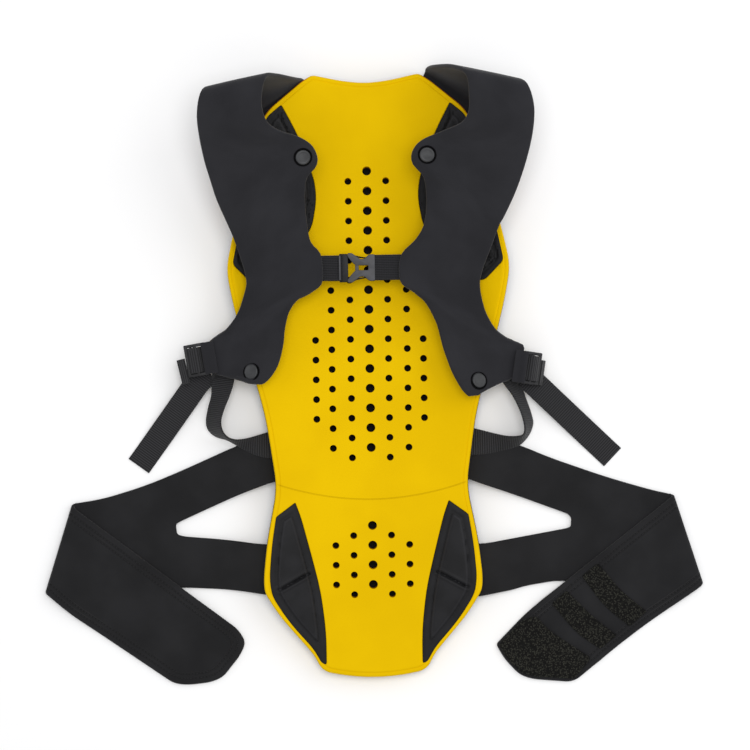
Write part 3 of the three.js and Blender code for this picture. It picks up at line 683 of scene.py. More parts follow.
@dataclass(frozen=True)
class Outline:
    """A closed outline in plan: corners as x, y and how far their rounding reaches.

    A rounding is drawn in pieces that are about a step long.
    """

    corners: tuple[Corner, ...]
    step: float = 2.5

    @classmethod
    def mirrored_half(cls, half: Sequence[Corner]) -> "Outline":
        """Completes an outline from its right half.

        Args:
            half: Corners from the middle line at the neck, clockwise, to the middle line.

        Returns:
            The whole outline, anticlockwise.
        """
        left = [(-x, y, r) for x, y, r in half[1:-1]]
        return cls((*left, half[-1], *reversed(half[1:-1]), half[0]))

    def flipped(self, side: Side) -> "Outline":
        """The outline for a side, where these corners are the right one's, anticlockwise."""
        if side is Side.RIGHT:
            return self
        return Outline(tuple((-x, y, r) for x, y, r in reversed(self.corners)), self.step)

    def ring(self, inward: float = 0.0) -> list[Vector]:
        """Points round the outline, moved inwards.

        Args:
            inward: How far in from the outline; below 0 it is outwards.

        Returns:
            The points, as many for every distance.
        """
        points = [Vector((x, y)) for x, y, _ in self.corners]
        count = len(points)
        moved, counts, reaches = [], [], []
        for i, point in enumerate(points):
            before = point - points[i - 1]
            after = points[(i + 1) % count] - point
            reach = min(self.corners[i][2], 0.5 * before.length, 0.5 * after.length)
            before.normalize()
            after.normalize()
            turn = before.x * after.y - before.y * after.x
            slope = turn / (1 + before.dot(after))
            normals = Vector((-before.y - after.y, before.x + after.x))
            moved.append(point + normals * (inward / (1 + before.dot(after))))
            counts.append(max(2, math.ceil(2 * reach / self.step)))
            reaches.append(max(0.15, reach - inward * slope))
        ring = []
        for i, point in enumerate(moved):
            before = moved[i - 1] - point
            after = moved[(i + 1) % count] - point
            reach = min(reaches[i], 0.49 * before.length, 0.49 * after.length)
            start = point + before.normalized() * reach
            end = point + after.normalized() * reach
            for k in range(counts[i] + 1):
                t = k / counts[i]
                ring.append(start * (1 - t) ** 2 + point * (2 * t * (1 - t)) + end * t**2)
        return ring


def lay_ring(mesh: Mesh, ring: Sequence[Vector], height: float) -> Edges:
    """Lays a closed ring of edges at a height.

    Args:
        mesh: The mesh that it goes in.
        ring: Its points in plan.
        height: Its height.

    Returns:
        The ring's edges.
    """
    verts = [mesh.verts.new((point.x, point.y, height)) for point in ring]
    return [mesh.edges.new((a, b)) for a, b in zip(verts, verts[1:] + verts[:1])]


def loft(mesh: Mesh, rings: Sequence[Edges], filled: Sequence[int] = (0, -1)) -> None:
    """Joins rings of edges into a skin.

    Args:
        mesh: The mesh that the rings are in.
        rings: The rings, from one end of the skin to the other.
        filled: The numbers of the rings that are filled with a face.
    """
    for lower, upper in zip(rings, rings[1:]):
        bmesh.ops.bridge_loops(mesh, edges=lower + upper)
    for number in filled:
        bmesh.ops.contextual_create(mesh, geom=rings[number])


def raise_outline(mesh: Mesh, outline: Outline, steps: Sequence[Flat],
                  filled: Sequence[int] = (0, -1)) -> Edges:
    """Builds a skin through an outline at several heights.

    Args:
        mesh: The mesh that it goes in.
        outline: The outline.
        steps: How far in the outline lies and how high, from one end of the skin to the other.
        filled: The numbers of the steps that are filled with a face.

    Returns:
        The edges of the last step.
    """
    rings = [lay_ring(mesh, outline.ring(inward), height) for inward, height in steps]
    loft(mesh, rings, filled)
    return rings[-1]


def slice_mesh(mesh: Mesh, normal: Vector, places: Sequence[float]) -> None:
    """Cuts extra edges across a mesh.

    Args:
        mesh: The mesh.
        normal: The direction across the cuts.
        places: How far along that direction each cut is.
    """
    wide = [face for face in mesh.faces if len(face.verts) > 4]
    bmesh.ops.triangulate(mesh, faces=wide)
    reach = [vert.co.dot(normal) for vert in mesh.verts]
    low, high = min(reach) + 1e-3, max(reach) - 1e-3
    for place in (place for place in places if low < place < high):
        geometry = mesh.verts[:] + mesh.edges[:] + mesh.faces[:]
        bmesh.ops.bisect_plane(mesh, geom=geometry, dist=1e-4, plane_co=normal * place,
                               plane_no=normal)


def slice_grid(mesh: Mesh, wide: Flat, long: Flat, step: float) -> None:
    """Cuts a mesh into even cells in plan.

    Args:
        mesh: The mesh.
        wide: From where to where in x.
        long: From where to where in y.
        step: The size of a cell.
    """
    slice_mesh(mesh, Vector((1, 0, 0)), spaced(*wide, step))
    slice_mesh(mesh, Vector((0, 1, 0)), spaced(*long, step))


def mark_cut(mesh: Mesh) -> None:
    """Writes every point's place in plan as the UV map of the cut, in metres.

    Args:
        mesh: The mesh, still flat.
    """
    layer = mesh.loops.layers.uv.new(Layout.CUT.value)
    for face in mesh.faces:
        for loop in face.loops:
            loop[layer].uv = (loop.vert.co.x * MM, loop.vert.co.y * MM)


def wound(corners: Sequence[Corner]) -> tuple[Corner, ...]:
    """Puts corners in anticlockwise order.

    Args:
        corners: The corners in either order.

    Returns:
        The corners, anticlockwise.
    """
    points = tuple(corners)
    pairs = zip(points, points[1:] + points[:1])
    turn = sum(a[0] * b[1] - a[1] * b[0] for a, b in pairs)
    return points if turn > 0 else points[::-1]


def enclosed(ring: Sequence[Vector]) -> float:
    """The area inside a ring of plan points."""
    pairs = zip(ring, list(ring[1:]) + [ring[0]])
    return abs(sum(a.x * b.y - a.y * b.x for a, b in pairs)) / 2


def spaced(low: float, high: float, step: float) -> list[float]:
    """Places from low to high, about a step apart.

    Args:
        low: The first place.
        high: The last place.
        step: The distance wanted.

    Returns:
        The places.
    """
    count = max(1, round((high - low) / step))
    return [low + (high - low) * k / count for k in range(count + 1)]


def rounded_share(distance: float, radius: float) -> float:
    """How thick a rounded edge is, as a share of the full thickness.

    Args:
        distance: How far in from the edge.
        radius: How far in the rounding reaches.

    Returns:
        The share, from 0 at the edge to 1.
    """
    inside = max(0.0, 1 - distance / radius)
    return math.sqrt(max(0.0, 1 - inside * inside))


class Border:
    """A line through plan points, which other plan points are measured from."""

    def __init__(self, points: Sequence[Vector], closed: bool = True) -> None:
        """Keeps the line's pieces.

        Args:
            points: The line's points.
            closed: Whether the last point joins the first.
        """
        ends = list(points[1:]) + (list(points[:1]) if closed else [])
        pairs = [(a, b) for a, b in zip(points, ends) if (b - a).length > 1e-6]
        self.start = numpy.array([(a.x, a.y) for a, _ in pairs])
        self.way = numpy.array([(b.x, b.y) for _, b in pairs]) - self.start
        self.length = numpy.hypot(*self.way.T)
        self.run = numpy.cumsum(self.length) - self.length

    def nearest(self, x: float, y: float) -> Flat:
        """Measures from a plan point.

        Args:
            x: The plan point's x.
            y: The plan point's y.

        Returns:
            How far the line is, and how far along it the nearest place is.
        """
        off = numpy.array((x, y)) - self.start
        share = numpy.clip((off * self.way).sum(axis=1) / self.length**2, 0.0, 1.0)
        away = numpy.hypot(*(off - share[:, None] * self.way).T)
        k = int(away.argmin())
        return float(away[k]), float(self.run[k] + share[k] * self.length[k])

    def measure(self, mesh: Mesh) -> None:
        """Writes every point's distance and place along the border as the UV map hem.

        Args:
            mesh: The mesh, still flat.
        """
        layer = mesh.loops.layers.uv.new(Layout.HEM.value)
        found = {vert: self.nearest(vert.co.x, vert.co.y) for vert in mesh.verts}
        for face in mesh.faces:
            for loop in face.loops:
                away, run = found[loop.vert]
                loop[layer].uv = (away * MM, run * MM)


def double_up(mesh: Mesh, place: Callable[[Vector, float], Vector]) -> None:
    """Makes a flat cut, whose heights are shares of thickness, into a closed sheet.

    The upper face's hem distances get a metre more, so hem lines show on the lower face alone.

    Args:
        mesh: The flat cut.
        place: Turns a plan point and a share, below 0 underneath, into a point in space.
    """
    geometry = mesh.verts[:] + mesh.edges[:] + mesh.faces[:]
    upper = mesh.verts[:]
    copy = bmesh.ops.duplicate(mesh, geom=geometry)["geom"]
    lower = [item for item in copy if isinstance(item, bmesh.types.BMVert)]
    faces = [item for item in copy if isinstance(item, bmesh.types.BMFace)]
    bmesh.ops.reverse_faces(mesh, faces=faces)
    hem = mesh.loops.layers.uv.get(Layout.HEM.value)
    if hem:
        plain = set(mesh.faces) - set(faces)
        for face in plain:
            for loop in face.loops:
                loop[hem].uv.x += 1.0
    for verts, sign in ((upper, 1), (lower, -1)):
        for vert in verts:
            vert.co = place(Vector((vert.co.x, vert.co.y, 0)), sign * vert.co.z)
    bmesh.ops.remove_doubles(mesh, verts=mesh.verts, dist=0.01)


@dataclass
class Ribbon:
    """A sheet whose middle surface is known along and across: a flap, strap or patch."""

    rows: Sequence[Sequence[float]]
    thickness: float
    rounding: float = 1.4
    step: float = 4.0
    across: int = 12
    edge_places: Sequence[float] = (0.0, 0.12, 0.4, 1.0)
    probe: float = 0.02
    finest: float = 0.1

    def middle(self, place: float, share: float) -> Vector:
        """A point of the middle surface.

        Args:
            place: The row, whole or between two.
            share: How far across.

        Returns:
            The point.
        """
        x0, y0, z0, x1, y1, z1, sag = spline(self.rows, place)
        point = Vector((x0, y0, z0)).lerp(Vector((x1, y1, z1)), share)
        point.z += sag * 4 * share * (1 - share)
        return point

    def normal(self, place: float, share: float) -> Vector:
        """The outward direction of the middle surface.

        Args:
            place: The row, whole or between two.
            share: How far across.

        Returns:
            The direction, of length 1.
        """
        last = len(self.rows) - 1
        low, high = max(0.0, place - self.probe), min(last, place + self.probe)
        left, right = max(0.0, share - self.probe), min(1.0, share + self.probe)
        along = self.middle(high, share) - self.middle(low, share)
        sideways = self.middle(place, right) - self.middle(place, left)
        return sideways.cross(along).normalized()

    def stations(self) -> tuple[list[float], list[float]]:
        """Rows to sample, close together at both ends, and how far along each one is.

        Returns:
            The row places and their distances along the middle.
        """
        fine = spaced(0.0, len(self.rows) - 1, self.finest)
        run = [0.0]
        points = [self.middle(place, 0.5) for place in fine]
        for a, b in zip(points, points[1:]):
            run.append(run[-1] + (b - a).length)
        edge = [self.rounding * share for share in self.edge_places]
        wanted = edge + spaced(edge[-1] * 2, run[-1] - edge[-1] * 2, self.step)
        wanted += [run[-1] - distance for distance in reversed(edge)]
        places = []
        for distance in wanted:
            k = next((i for i in range(1, len(run)) if run[i] >= distance - 1e-6), len(run) - 1)
            share = (distance - run[k - 1]) / max(1e-9, run[k] - run[k - 1])
            places.append(fine[k - 1] + (fine[k] - fine[k - 1]) * min(1.0, share))
        return places, wanted

    def build(self) -> Mesh:
        """Builds the closed sheet with its flat cut as a UV map in metres.

        Returns:
            The mesh.
        """
        places, run = self.stations()
        ends = len(self.edge_places)
        columns = 2 * ends + self.across - 1
        mesh = bmesh.new()
        uv = mesh.loops.layers.uv.new(Layout.CUT.value)
        bmesh.ops.create_grid(mesh, x_segments=columns - 1, y_segments=len(places) - 1, size=1.0)
        spots = {}
        length = run[-1]
        for vert in mesh.verts:
            i = round((vert.co.y + 1) / 2 * (len(places) - 1))
            j = round((vert.co.x + 1) / 2 * (columns - 1))
            width = (self.middle(places[i], 1) - self.middle(places[i], 0)).length
            edge = [min(self.rounding * share, 0.2 * width) for share in self.edge_places]
            if j < ends:
                side = edge[j]
            elif j >= columns - ends:
                side = width - edge[columns - 1 - j]
            else:
                side = edge[-1] + (width - 2 * edge[-1]) * (j - ends + 1) / self.across
            inside = min(side, width - side, run[i], length - run[i])
            spots[vert] = (places[i], side / width, rounded_share(inside, self.rounding), side,
                           run[i])
        for face in mesh.faces:
            for loop in face.loops:
                spot = spots[loop.vert]
                loop[uv].uv = (spot[3] * MM, spot[4] * MM)
        geometry = mesh.verts[:] + mesh.edges[:] + mesh.faces[:]
        made = bmesh.ops.duplicate(mesh, geom=geometry)
        under = {made["vert_map"][vert]: spot for vert, spot in spots.items()}
        faces = [item for item in made["geom"] if isinstance(item, bmesh.types.BMFace)]
        bmesh.ops.reverse_faces(mesh, faces=faces)
        half = self.thickness / 2
        for group, sign in ((spots, 1), (under, -1)):
            for vert, (place, share, thick, _, _) in group.items():
                normal = self.normal(place, share)
                vert.co = self.middle(place, share) + normal * (sign * thick * half)
        bmesh.ops.remove_doubles(mesh, verts=mesh.verts, dist=0.01)
        face_outwards(mesh)
        return mesh

    def nearest(self, x: float, y: float, first: float = 0.0) -> tuple[Vector, Vector]:
        """Finds where a plan point lies on the outer face.

        Args:
            x: The plan point's x.
            y: The plan point's y.
            first: The first row that is looked at.

        Returns:
            The point on the outer face and the outward direction.
        """
        spot, best = (0.0, 0.0), math.inf
        for place in spaced(first, len(self.rows) - 1, self.finest):
            for k in range(41):
                point = self.middle(place, k / 40)
                gap = (point.x - x) ** 2 + (point.y - y) ** 2
                if gap < best:
                    spot, best = (place, k / 40), gap
        normal = self.normal(*spot)
        normal *= 1 if normal.z > 0 else -1
        point = self.middle(*spot)
        return Vector((x, y, point.z)) + normal * self.thickness / 2, normal


@dataclass
class BackCurve:
    """The curve of the back that the plate, its cover and its pads share."""

    half_length: float = 287.0
    half_width: float = 134.0
    flat_half_width: float = 25.0
    curl: float = 20.0
    profile: Sequence[Flat] = (
        (-1.0, 0.8), (-0.87, 1.6), (-0.4, 8.0), (-0.09, 0.0), (0.53, 0.0), (1.0, 14.0),
    )

    def extent(self) -> tuple[Flat, Flat]:
        """From where to where the back reaches, across and along."""
        return ((-self.half_width, self.half_width), (-self.half_length, self.half_length))

    def lift(self, y: float) -> float:
        """How high the outer side lies on the middle line.

        Args:
            y: The distance towards the neck.

        Returns:
            The height above the floor.
        """
        share = y / self.half_length
        if share <= self.profile[0][0]:
            return self.profile[0][1]
        for (low, from_lift), (high, to_lift) in zip(self.profile, self.profile[1:]):
            if share <= high:
                return from_lift + (to_lift - from_lift) * smooth_step(low, high, share)
        return self.profile[-1][1]

    def under(self, x: float, y: float) -> float:
        """The height of the cover's underside at a plan point."""
        span = self.half_width - self.flat_half_width
        outward = max(0.0, abs(x) - self.flat_half_width) / span
        return self.lift(y) + self.curl * outward * outward

    def bend(self, mesh: Mesh) -> None:
        """Lifts every point of a mesh with the back's curve."""
        for vert in mesh.verts:
            vert.co.z += self.under(vert.co.x, vert.co.y)


PLATE_HALF: tuple[Corner, ...] = (
    (0, 279, 40), (20, 281, 14), (50.5, 287.4, 3.5), (61, 281, 5), (98, 250, 16),
    (127.5, 138, 20), (134.4, 105, 12), (130, 78, 20), (122, 45, 30), (105, -16, 30),
    (99, -42, 30), (91, -96, 20), (91.5, -112, 20), (100, -155, 20), (103.8, -189, 8),
    (103.3, -203, 6), (89.5, -226, 20), (57.5, -264, 12), (51.5, -276, 6), (45, -280.8, 5),
    (25, -284.7, 20), (0, -286.5, 30),
)
SCAPULA: tuple[Corner, ...] = (
    (80, 258.9, 1.2), (64, 229, 30), (47, 178, 18), (54, 140, 12), (107.5, 88, 8),
    (128, 109, 4), (122.7, 136, 20), (93.8, 247.4, 5),
)
LUMBAR: tuple[Corner, ...] = (
    (73, -118.2, 0.6), (68.3, -131, 10), (58.3, -169.9, 40), (50.5, -202.9, 40),
    (46, -242.2, 30), (46, -273.2, 3), (50.3, -271.2, 3), (57.6, -258, 14), (80.4, -231.6, 30),
    (95.9, -206.6, 8), (98, -190, 8), (95.4, -157.9, 40), (90.9, -131.2, 1.2),
)


@dataclass
class Drilling:
    """The vent holes: straight columns of holes at one pitch."""

    pitch: float = 18.8
    column_step: float = 18.0
    large: float = 8.4
    small: float = 6.5
    columns: Sequence[tuple[float, float, int, bool]] = (
        (0, 196.3, 15, True), (1, 186.8, 15, False), (2, 83.2, 9, False), (2.85, 35.9, 5, False),
        (0, -140.9, 4, True), (1, -150.4, 4, False), (1.95, -159.6, 3, False),
    )

    def holes(self) -> list[tuple[float, float, float]]:
        """Lists the vent holes.

        Returns:
            The x and y of every hole's centre, and its radius.
        """
        found = []
        for steps, first, count, is_large in self.columns:
            radius = (self.large if is_large else self.small) / 2
            for sign in ((1,) if steps == 0 else (-1, 1)):
                for k in range(count):
                    found.append((sign * steps * self.column_step, first - k * self.pitch, radius))
        return found


@dataclass
class FoamPlate:
    """The bright foam plate with its drilled holes, pockets and rounded rim."""

    curve: BackCurve
    finishes: Finishes
    drilling: Drilling = field(default_factory=Drilling)
    base: float = 2.3
    foot: float = 0.8
    top: float = 18.3
    pocket: float = 6.0
    pocket_gap: float = 0.3
    grid: float = 7.0
    rim: Sequence[Flat] = (
        (0.0, -3.4), (0.35, -2.2), (1.0, -1.35), (2.0, -1.0), (3.6, -0.75), (4.1, -1.05),
        (4.6, -0.75), (5.3, -0.15), (6.4, 0.0),
    )

    def blank(self) -> Mesh:
        """Builds the plate before it is drilled, still flat."""
        outline = Outline.mirrored_half(PLATE_HALF)
        mesh = bmesh.new()
        foot = ((self.foot, self.base), (0.0, self.base + self.foot))
        rim = [(inward, self.top + rise) for inward, rise in self.rim]
        raise_outline(mesh, outline, (*foot, *rim))
        face_outwards(mesh)
        slice_grid(mesh, *self.curve.extent(), self.grid)
        return mesh

    def drills(self) -> Mesh:
        """Builds the shapes that cut the holes, each a little flared at the top."""
        mesh = bmesh.new()
        for x, y, radius in self.drilling.holes():
            flare = ((0, self.base - 4), (0, self.top - 0.3), (0.06, self.top - 0.12),
                     (0.22, self.top + 0.02), (0.22, self.top + 4))
            loops = []
            for wider, height in flare:
                made = bmesh.ops.create_circle(mesh, segments=28, radius=radius + wider,
                                               matrix=Matrix.Translation((x, y, height)))
                loops.append(list({edge for vert in made["verts"] for edge in vert.link_edges}))
            loft(mesh, loops)
        return mesh

    def pockets(self) -> Mesh:
        """Builds the shapes that cut the four pockets for the pads."""
        mesh = bmesh.new()
        floor = self.top - self.pocket
        for corners in (SCAPULA, LUMBAR):
            for side in Side:
                outline = Outline(corners).flipped(side)
                steps = ((0, floor), (0, self.top - 0.7), (-0.2, self.top - 0.3),
                         (-0.7, self.top + 0.03), (-0.7, self.top + 4))
                raise_outline(mesh, outline, [(inward - self.pocket_gap, height)
                                              for inward, height in steps])
        return mesh

    def build(self) -> Piece:
        """Cuts the blank and bends it.

        Returns:
            The plate.
        """
        plate = stood_up("plate_blank", self.blank())
        tools = []
        for name, shape in (("drills", self.drills()), ("pockets", self.pockets())):
            face_outwards(shape)
            tools.append(stood_up(name, shape))
            cut = plate.modifiers.new(name, "BOOLEAN")
            cut.operation = "DIFFERENCE"
            cut.solver = "EXACT"
            cut.object = tools[-1]
        mesh = taken_up(plate)
        for tool in tools:
            drop(tool)
        Border(Outline.mirrored_half(PLATE_HALF).ring()).measure(mesh)
        self.curve.bend(mesh)
        piece = make_piece("foam_plate", mesh, self.finishes.foam, ["back_plate"])
        normals = piece.modifiers.new("normals", "WEIGHTED_NORMAL")
        normals.keep_sharp = True
        normals.weight = 90
        return piece


@dataclass
class RearCover:
    """The thin black cover behind the plate, with its bound edge."""

    curve: BackCurve
    finishes: Finishes
    thickness: float = 2.0
    lip: float = 0.8
    grid: float = 8.0

    def build(self) -> Piece:
        """Builds the cover.

        Returns:
            The cover.
        """
        outline = Outline.mirrored_half(PLATE_HALF)
        mesh = bmesh.new()
        steps = ((0.8, 0.0), (0.25, 0.25), (0.0, 1.0), (0.25, 1.75), (0.8, 2.0))
        raise_outline(mesh, outline, [(inward - self.lip, height * self.thickness / 2)
                                      for inward, height in steps])
        face_outwards(mesh)
        slice_grid(mesh, *self.curve.extent(), self.grid)
        self.curve.bend(mesh)
        piece = make_piece("rear_cover", mesh, self.finishes.cover, ["back_cover"])
        ring = outline.ring(-self.lip)
        enclosed(ring) * MM * MM
        return piece


PUFF_PRESSURE = 4.0
PUFF_STEPS = 20


def puffed(mesh: Mesh, voxel: float, cap: float) -> Mesh:
    """Swells a pad with cloth simulation and caps how far a point may move.

    Args:
        mesh: The pad's mesh in millimetres, slightly smaller than wanted; it is used up.
        voxel: The size of the new even faces.
        cap: How far a point may move.

    Returns:
        The swollen mesh in millimetres.
    """
    bmesh.ops.scale(mesh, vec=(MM,) * 3, verts=mesh.verts)
    helper = stood_up("pad_helper", mesh)
    remesh = helper.modifiers.new("even", "REMESH")
    remesh.mode = "VOXEL"
    remesh.voxel_size = voxel * MM
    helper = stood_up("pad_even", taken_up(helper))
    rest = [vert.co.copy() for vert in helper.data.vertices]
    cloth = helper.modifiers.new("puff", "CLOTH")
    cloth.settings.use_pressure = True
    cloth.settings.uniform_pressure_force = PUFF_PRESSURE
    cloth.settings.effector_weights.gravity = 0.0
    for step in range(1, PUFF_STEPS + 1):
        bpy.context.scene.frame_set(step)
    swollen = taken_up(helper)
    for vert, start in zip(swollen.verts, rest):
        move = vert.co - start
        if move.length > cap * MM:
            vert.co = start + move.normalized() * cap * MM
    bpy.context.scene.frame_set(1)
    bmesh.ops.scale(swollen, vec=(1 / MM,) * 3, verts=swollen.verts)
    return swollen


@dataclass
class SoftPad:
    """A pad let into the plate, swollen between its edges, with pressed lines."""

    name: str
    corners: tuple[Corner, ...]
    side: Side
    curve: BackCurve
    finishes: Finishes
    inset: float
    grooves: Sequence[Sequence[Flat]] = ()
    floor: float = 12.6
    edge: float = 18.0
    top: float = 19.0
    voxel: float = 4.0
    cap: float = 6.0
    grid: float = 1.6
    wide: Flat = (-130.0, 130.0)
    long: Flat = (-276.0, 260.0)
    shoulder: float = 0.5
    panel: float = 1.4
    crown_share: float = 0.3
    channel: float = 0.35
    groove_depth: float = 2.4
    groove_lip: float = 0.6

    def blank(self) -> Mesh:
        """Builds the pad before it swells."""
        outline = Outline(self.corners)
        steps = ((0.9, self.floor), (0.2, self.floor + 0.6), (0.2, self.top - 2.2),
                 (0.9, self.top - 1.0), (2.4, self.top - 0.3), (4.5, self.top))
        mesh = bmesh.new()
        raise_outline(mesh, outline, steps)
        face_outwards(mesh)
        return mesh

    def crisp(self, swollen: Mesh) -> Mesh:
        """Builds the pad with its sharp outline and the swollen shape's crown.

        Args:
            swollen: The swollen pad, which is used up.

        Returns:
            The pad, still flat.
        """
        for _ in range(8):
            bmesh.ops.smooth_vert(swollen, verts=swollen.verts, factor=0.5, use_axis_x=True,
                                  use_axis_y=True, use_axis_z=True)
        tree = BVHTree.FromBMesh(swollen)
        swollen.free()
        outline = Outline(self.corners, 1.5)
        mesh = bmesh.new()
        steps = ((0.0, self.floor), (0.0, self.edge - 0.5), (0.12, self.edge - 0.15),
                 (0.4, self.edge), (1.2, self.edge))
        raise_outline(mesh, outline, steps)
        face_outwards(mesh)
        slice_grid(mesh, self.wide, self.long, self.grid)
        border = Border(outline.ring())
        grooves = [Border([Vector(spot) for spot in line], closed=False) for line in self.grooves]
        for vert in mesh.verts:
            if vert.co.z < self.edge - 0.05:
                continue
            x, y = vert.co.x, vert.co.y
            away = border.nearest(x, y)[0]
            hit = tree.ray_cast(Vector((x, y, 60)), Vector((0, 0, -1)))[0]
            crown = min(hit.z if hit else self.edge, self.top + self.cap) - self.top
            rise = self.shoulder * smooth_step(0.3, 3.0, away)
            lifted = self.panel + self.crown_share * max(0.0, crown)
            rise += lifted * smooth_step(self.inset - 0.8, self.inset + 1.2, away)
            rise -= self.channel * math.exp(-(((away - self.inset + 1.0) / 1.5) ** 2))
            for groove in grooves:
                gap = groove.nearest(x, y)[0]
                rise -= self.groove_depth * math.exp(-((gap / 1.1) ** 2))
                rise += self.groove_lip * math.exp(-(((gap - 2.9) / 1.2) ** 2))
            vert.co.z += rise
        return mesh

    def build(self) -> Piece:
        """Swells, trims, presses and bends the pad.

        Returns:
            The pad.
        """
        border = Border(Outline(self.corners, 1.5).ring())
        mesh = self.crisp(puffed(self.blank(), self.voxel, self.cap))
        border.measure(mesh)
        self.curve.bend(mesh)
        self.side.lay_out(mesh)
        node = f"{self.name}_{self.side.label}"
        piece = make_piece(f"soft_{node}", mesh, self.finishes.pad, [node], crease=50)
        return piece


FLAP_SPAN = 156.0
FLAP_HEIGHT = 105.0
FLAP_LEFT: tuple[tuple[Corner, Corner, float], ...] = (
    ((41.5, 269.8, -2.2), (85.8, 238.2, -2.2), 0.0),
    ((51.6, 279.8, -2.2), (96.5, 245.4, -2.2), 0.0),
    ((59.0, 285.5, 13.2), (101.6, 254.3, 18.2), 0.0),
    ((61.0, 284.5, 24.2), (107.0, 258.0, 30.0), 0.0),
    ((67.9, 283.0, 48.3), (128.1, 266.0, 52.5), 2.1),
    ((81.1, 282.5, 78.8), (142.0, 269.8, 77.7), 3.1),
    ((90.0, 279.5, 98.8), (149.8, 268.1, 94.5), 3.1),
    ((94.5, 265.5, 104.5), (154.0, 258.3, 97.7), 3.1),
    ((95.0, 249.7, 101.8), (156.0, 243.9, 92.4), 3.1),
    ((90.5, 237.1, 96.6), (155.1, 229.6, 86.1), 3.1),
    ((79.6, 229.6, 89.2), (153.0, 215.2, 80.9), 3.1),
    ((62.4, 224.4, 81.9), (150.1, 200.9, 75.6), 3.1),
    ((50.7, 217.0, 76.6), (145.9, 186.0, 70.4), 3.1),
    ((45.6, 206.6, 72.4), (142.0, 172.2, 66.2), 3.1),
    ((46.8, 198.0, 69.3), (138.5, 162.7, 64.0), 3.1),
    ((55.8, 187.1, 66.2), (134.0, 152.1, 60.4), 3.1),
    ((58.0, 166.5, 60.4), (126.4, 134.0, 56.2), 3.1),
    ((56.0, 140.1, 54.6), (120.1, 114.8, 52.5), 2.6),
    ((53.0, 127.1, 50.9), (116.1, 99.9, 49.9), 2.1),
    ((44.3, 115.9, 48.8), (115.0, 89.0, 48.3), 1.1),
    ((43.1, 91.0, 48.8), (119.0, 74.6, 46.2), 0.0),
    ((51.5, 82.1, 48.8), (122.5, 65.4, 44.1), 0.0),
    ((65.5, 75.2, 49.3), (127.9, 56.3, 41.5), 0.0),
    ((74.6, 63.7, 49.9), (137.0, 45.9, 37.3), -1.1),
    ((79.2, 47.4, 50.9), (147.4, 39.6, 32.5), -2.1),
    ((81.1, 31.6, 51.4), (152.6, 33.0, 29.4), -3.1),
    ((85.8, 14.4, 51.4), (150.1, 8.6, 27.5), -4.2),
    ((91.3, 4.6, 49.9), (138.8, 3.4, 29.9), -3.1),
    ((96.7, -1.7, 47.8), (127.9, 1.4, 34.6), -2.1),
    ((102.0, -5.2, 45.7), (114.7, -4.0, 41.0), 0.0),
)
FLAP_RIGHT: tuple[tuple[Corner, Corner, float], ...] = (
    ((41.5, 269.8, -2.2), (85.8, 238.2, -2.2), 0.0),
    ((51.6, 279.8, -2.2), (96.5, 245.4, -2.2), 0.0),
    ((57.0, 290.0, 13.2), (105.0, 254.3, 18.2), 0.0),
    ((58.5, 293.5, 22.0), (113.0, 259.0, 28.0), 0.0),
    ((64.0, 292.0, 48.0), (126.0, 267.0, 52.0), 2.0),
    ((77.0, 288.5, 79.0), (140.0, 273.0, 77.0), 3.0),
    ((88.0, 282.5, 99.5), (148.0, 270.0, 94.0), 3.0),
    ((94.0, 274.0, 104.5), (153.0, 261.0, 97.0), 3.0),
    ((95.5, 258.0, 103.0), (156.0, 248.0, 93.0), 3.0),
    ((95.0, 244.0, 98.0), (156.0, 235.0, 88.0), 3.0),
    ((88.0, 234.0, 92.0), (154.0, 220.0, 82.5), 3.0),
    ((70.0, 227.0, 84.0), (150.0, 203.0, 77.5), 3.0),
    ((52.0, 220.0, 78.0), (145.0, 187.0, 72.5), 3.0),
    ((43.5, 211.0, 74.0), (139.0, 171.0, 68.0), 3.0),
    ((42.5, 200.0, 71.0), (133.0, 158.0, 64.5), 3.0),
    ((53.0, 187.0, 66.5), (128.0, 148.0, 61.0), 3.0),
    ((55.5, 165.0, 60.5), (123.0, 139.0, 57.5), 3.0),
    ((53.0, 143.0, 54.5), (115.0, 118.0, 52.5), 2.5),
    ((45.0, 129.0, 50.5), (108.0, 100.0, 49.5), 2.0),
    ((31.0, 114.0, 48.8), (105.0, 85.0, 47.5), 1.0),
    ((30.0, 90.0, 48.8), (108.5, 65.0, 45.0), 0.0),
    ((42.0, 80.0, 48.8), (114.0, 52.0, 42.0), 0.0),
    ((53.0, 70.0, 49.3), (121.0, 42.0, 39.0), 0.0),
    ((63.0, 51.0, 49.9), (131.0, 34.5, 35.0), -1.0),
    ((67.0, 36.0, 50.5), (139.0, 31.0, 32.0), -2.0),
    ((70.0, 24.5, 51.0), (147.0, 25.0, 29.0), -3.0),
    ((77.0, 5.0, 50.5), (137.5, -1.0, 26.5), -4.0),
    ((82.0, -5.0, 49.0), (126.0, -6.5, 31.0), -3.0),
    ((87.0, -13.5, 47.2), (113.5, -12.2, 35.8), -2.0),
    ((93.0, -19.6, 44.5), (101.5, -18.8, 39.5), 0.0),
)


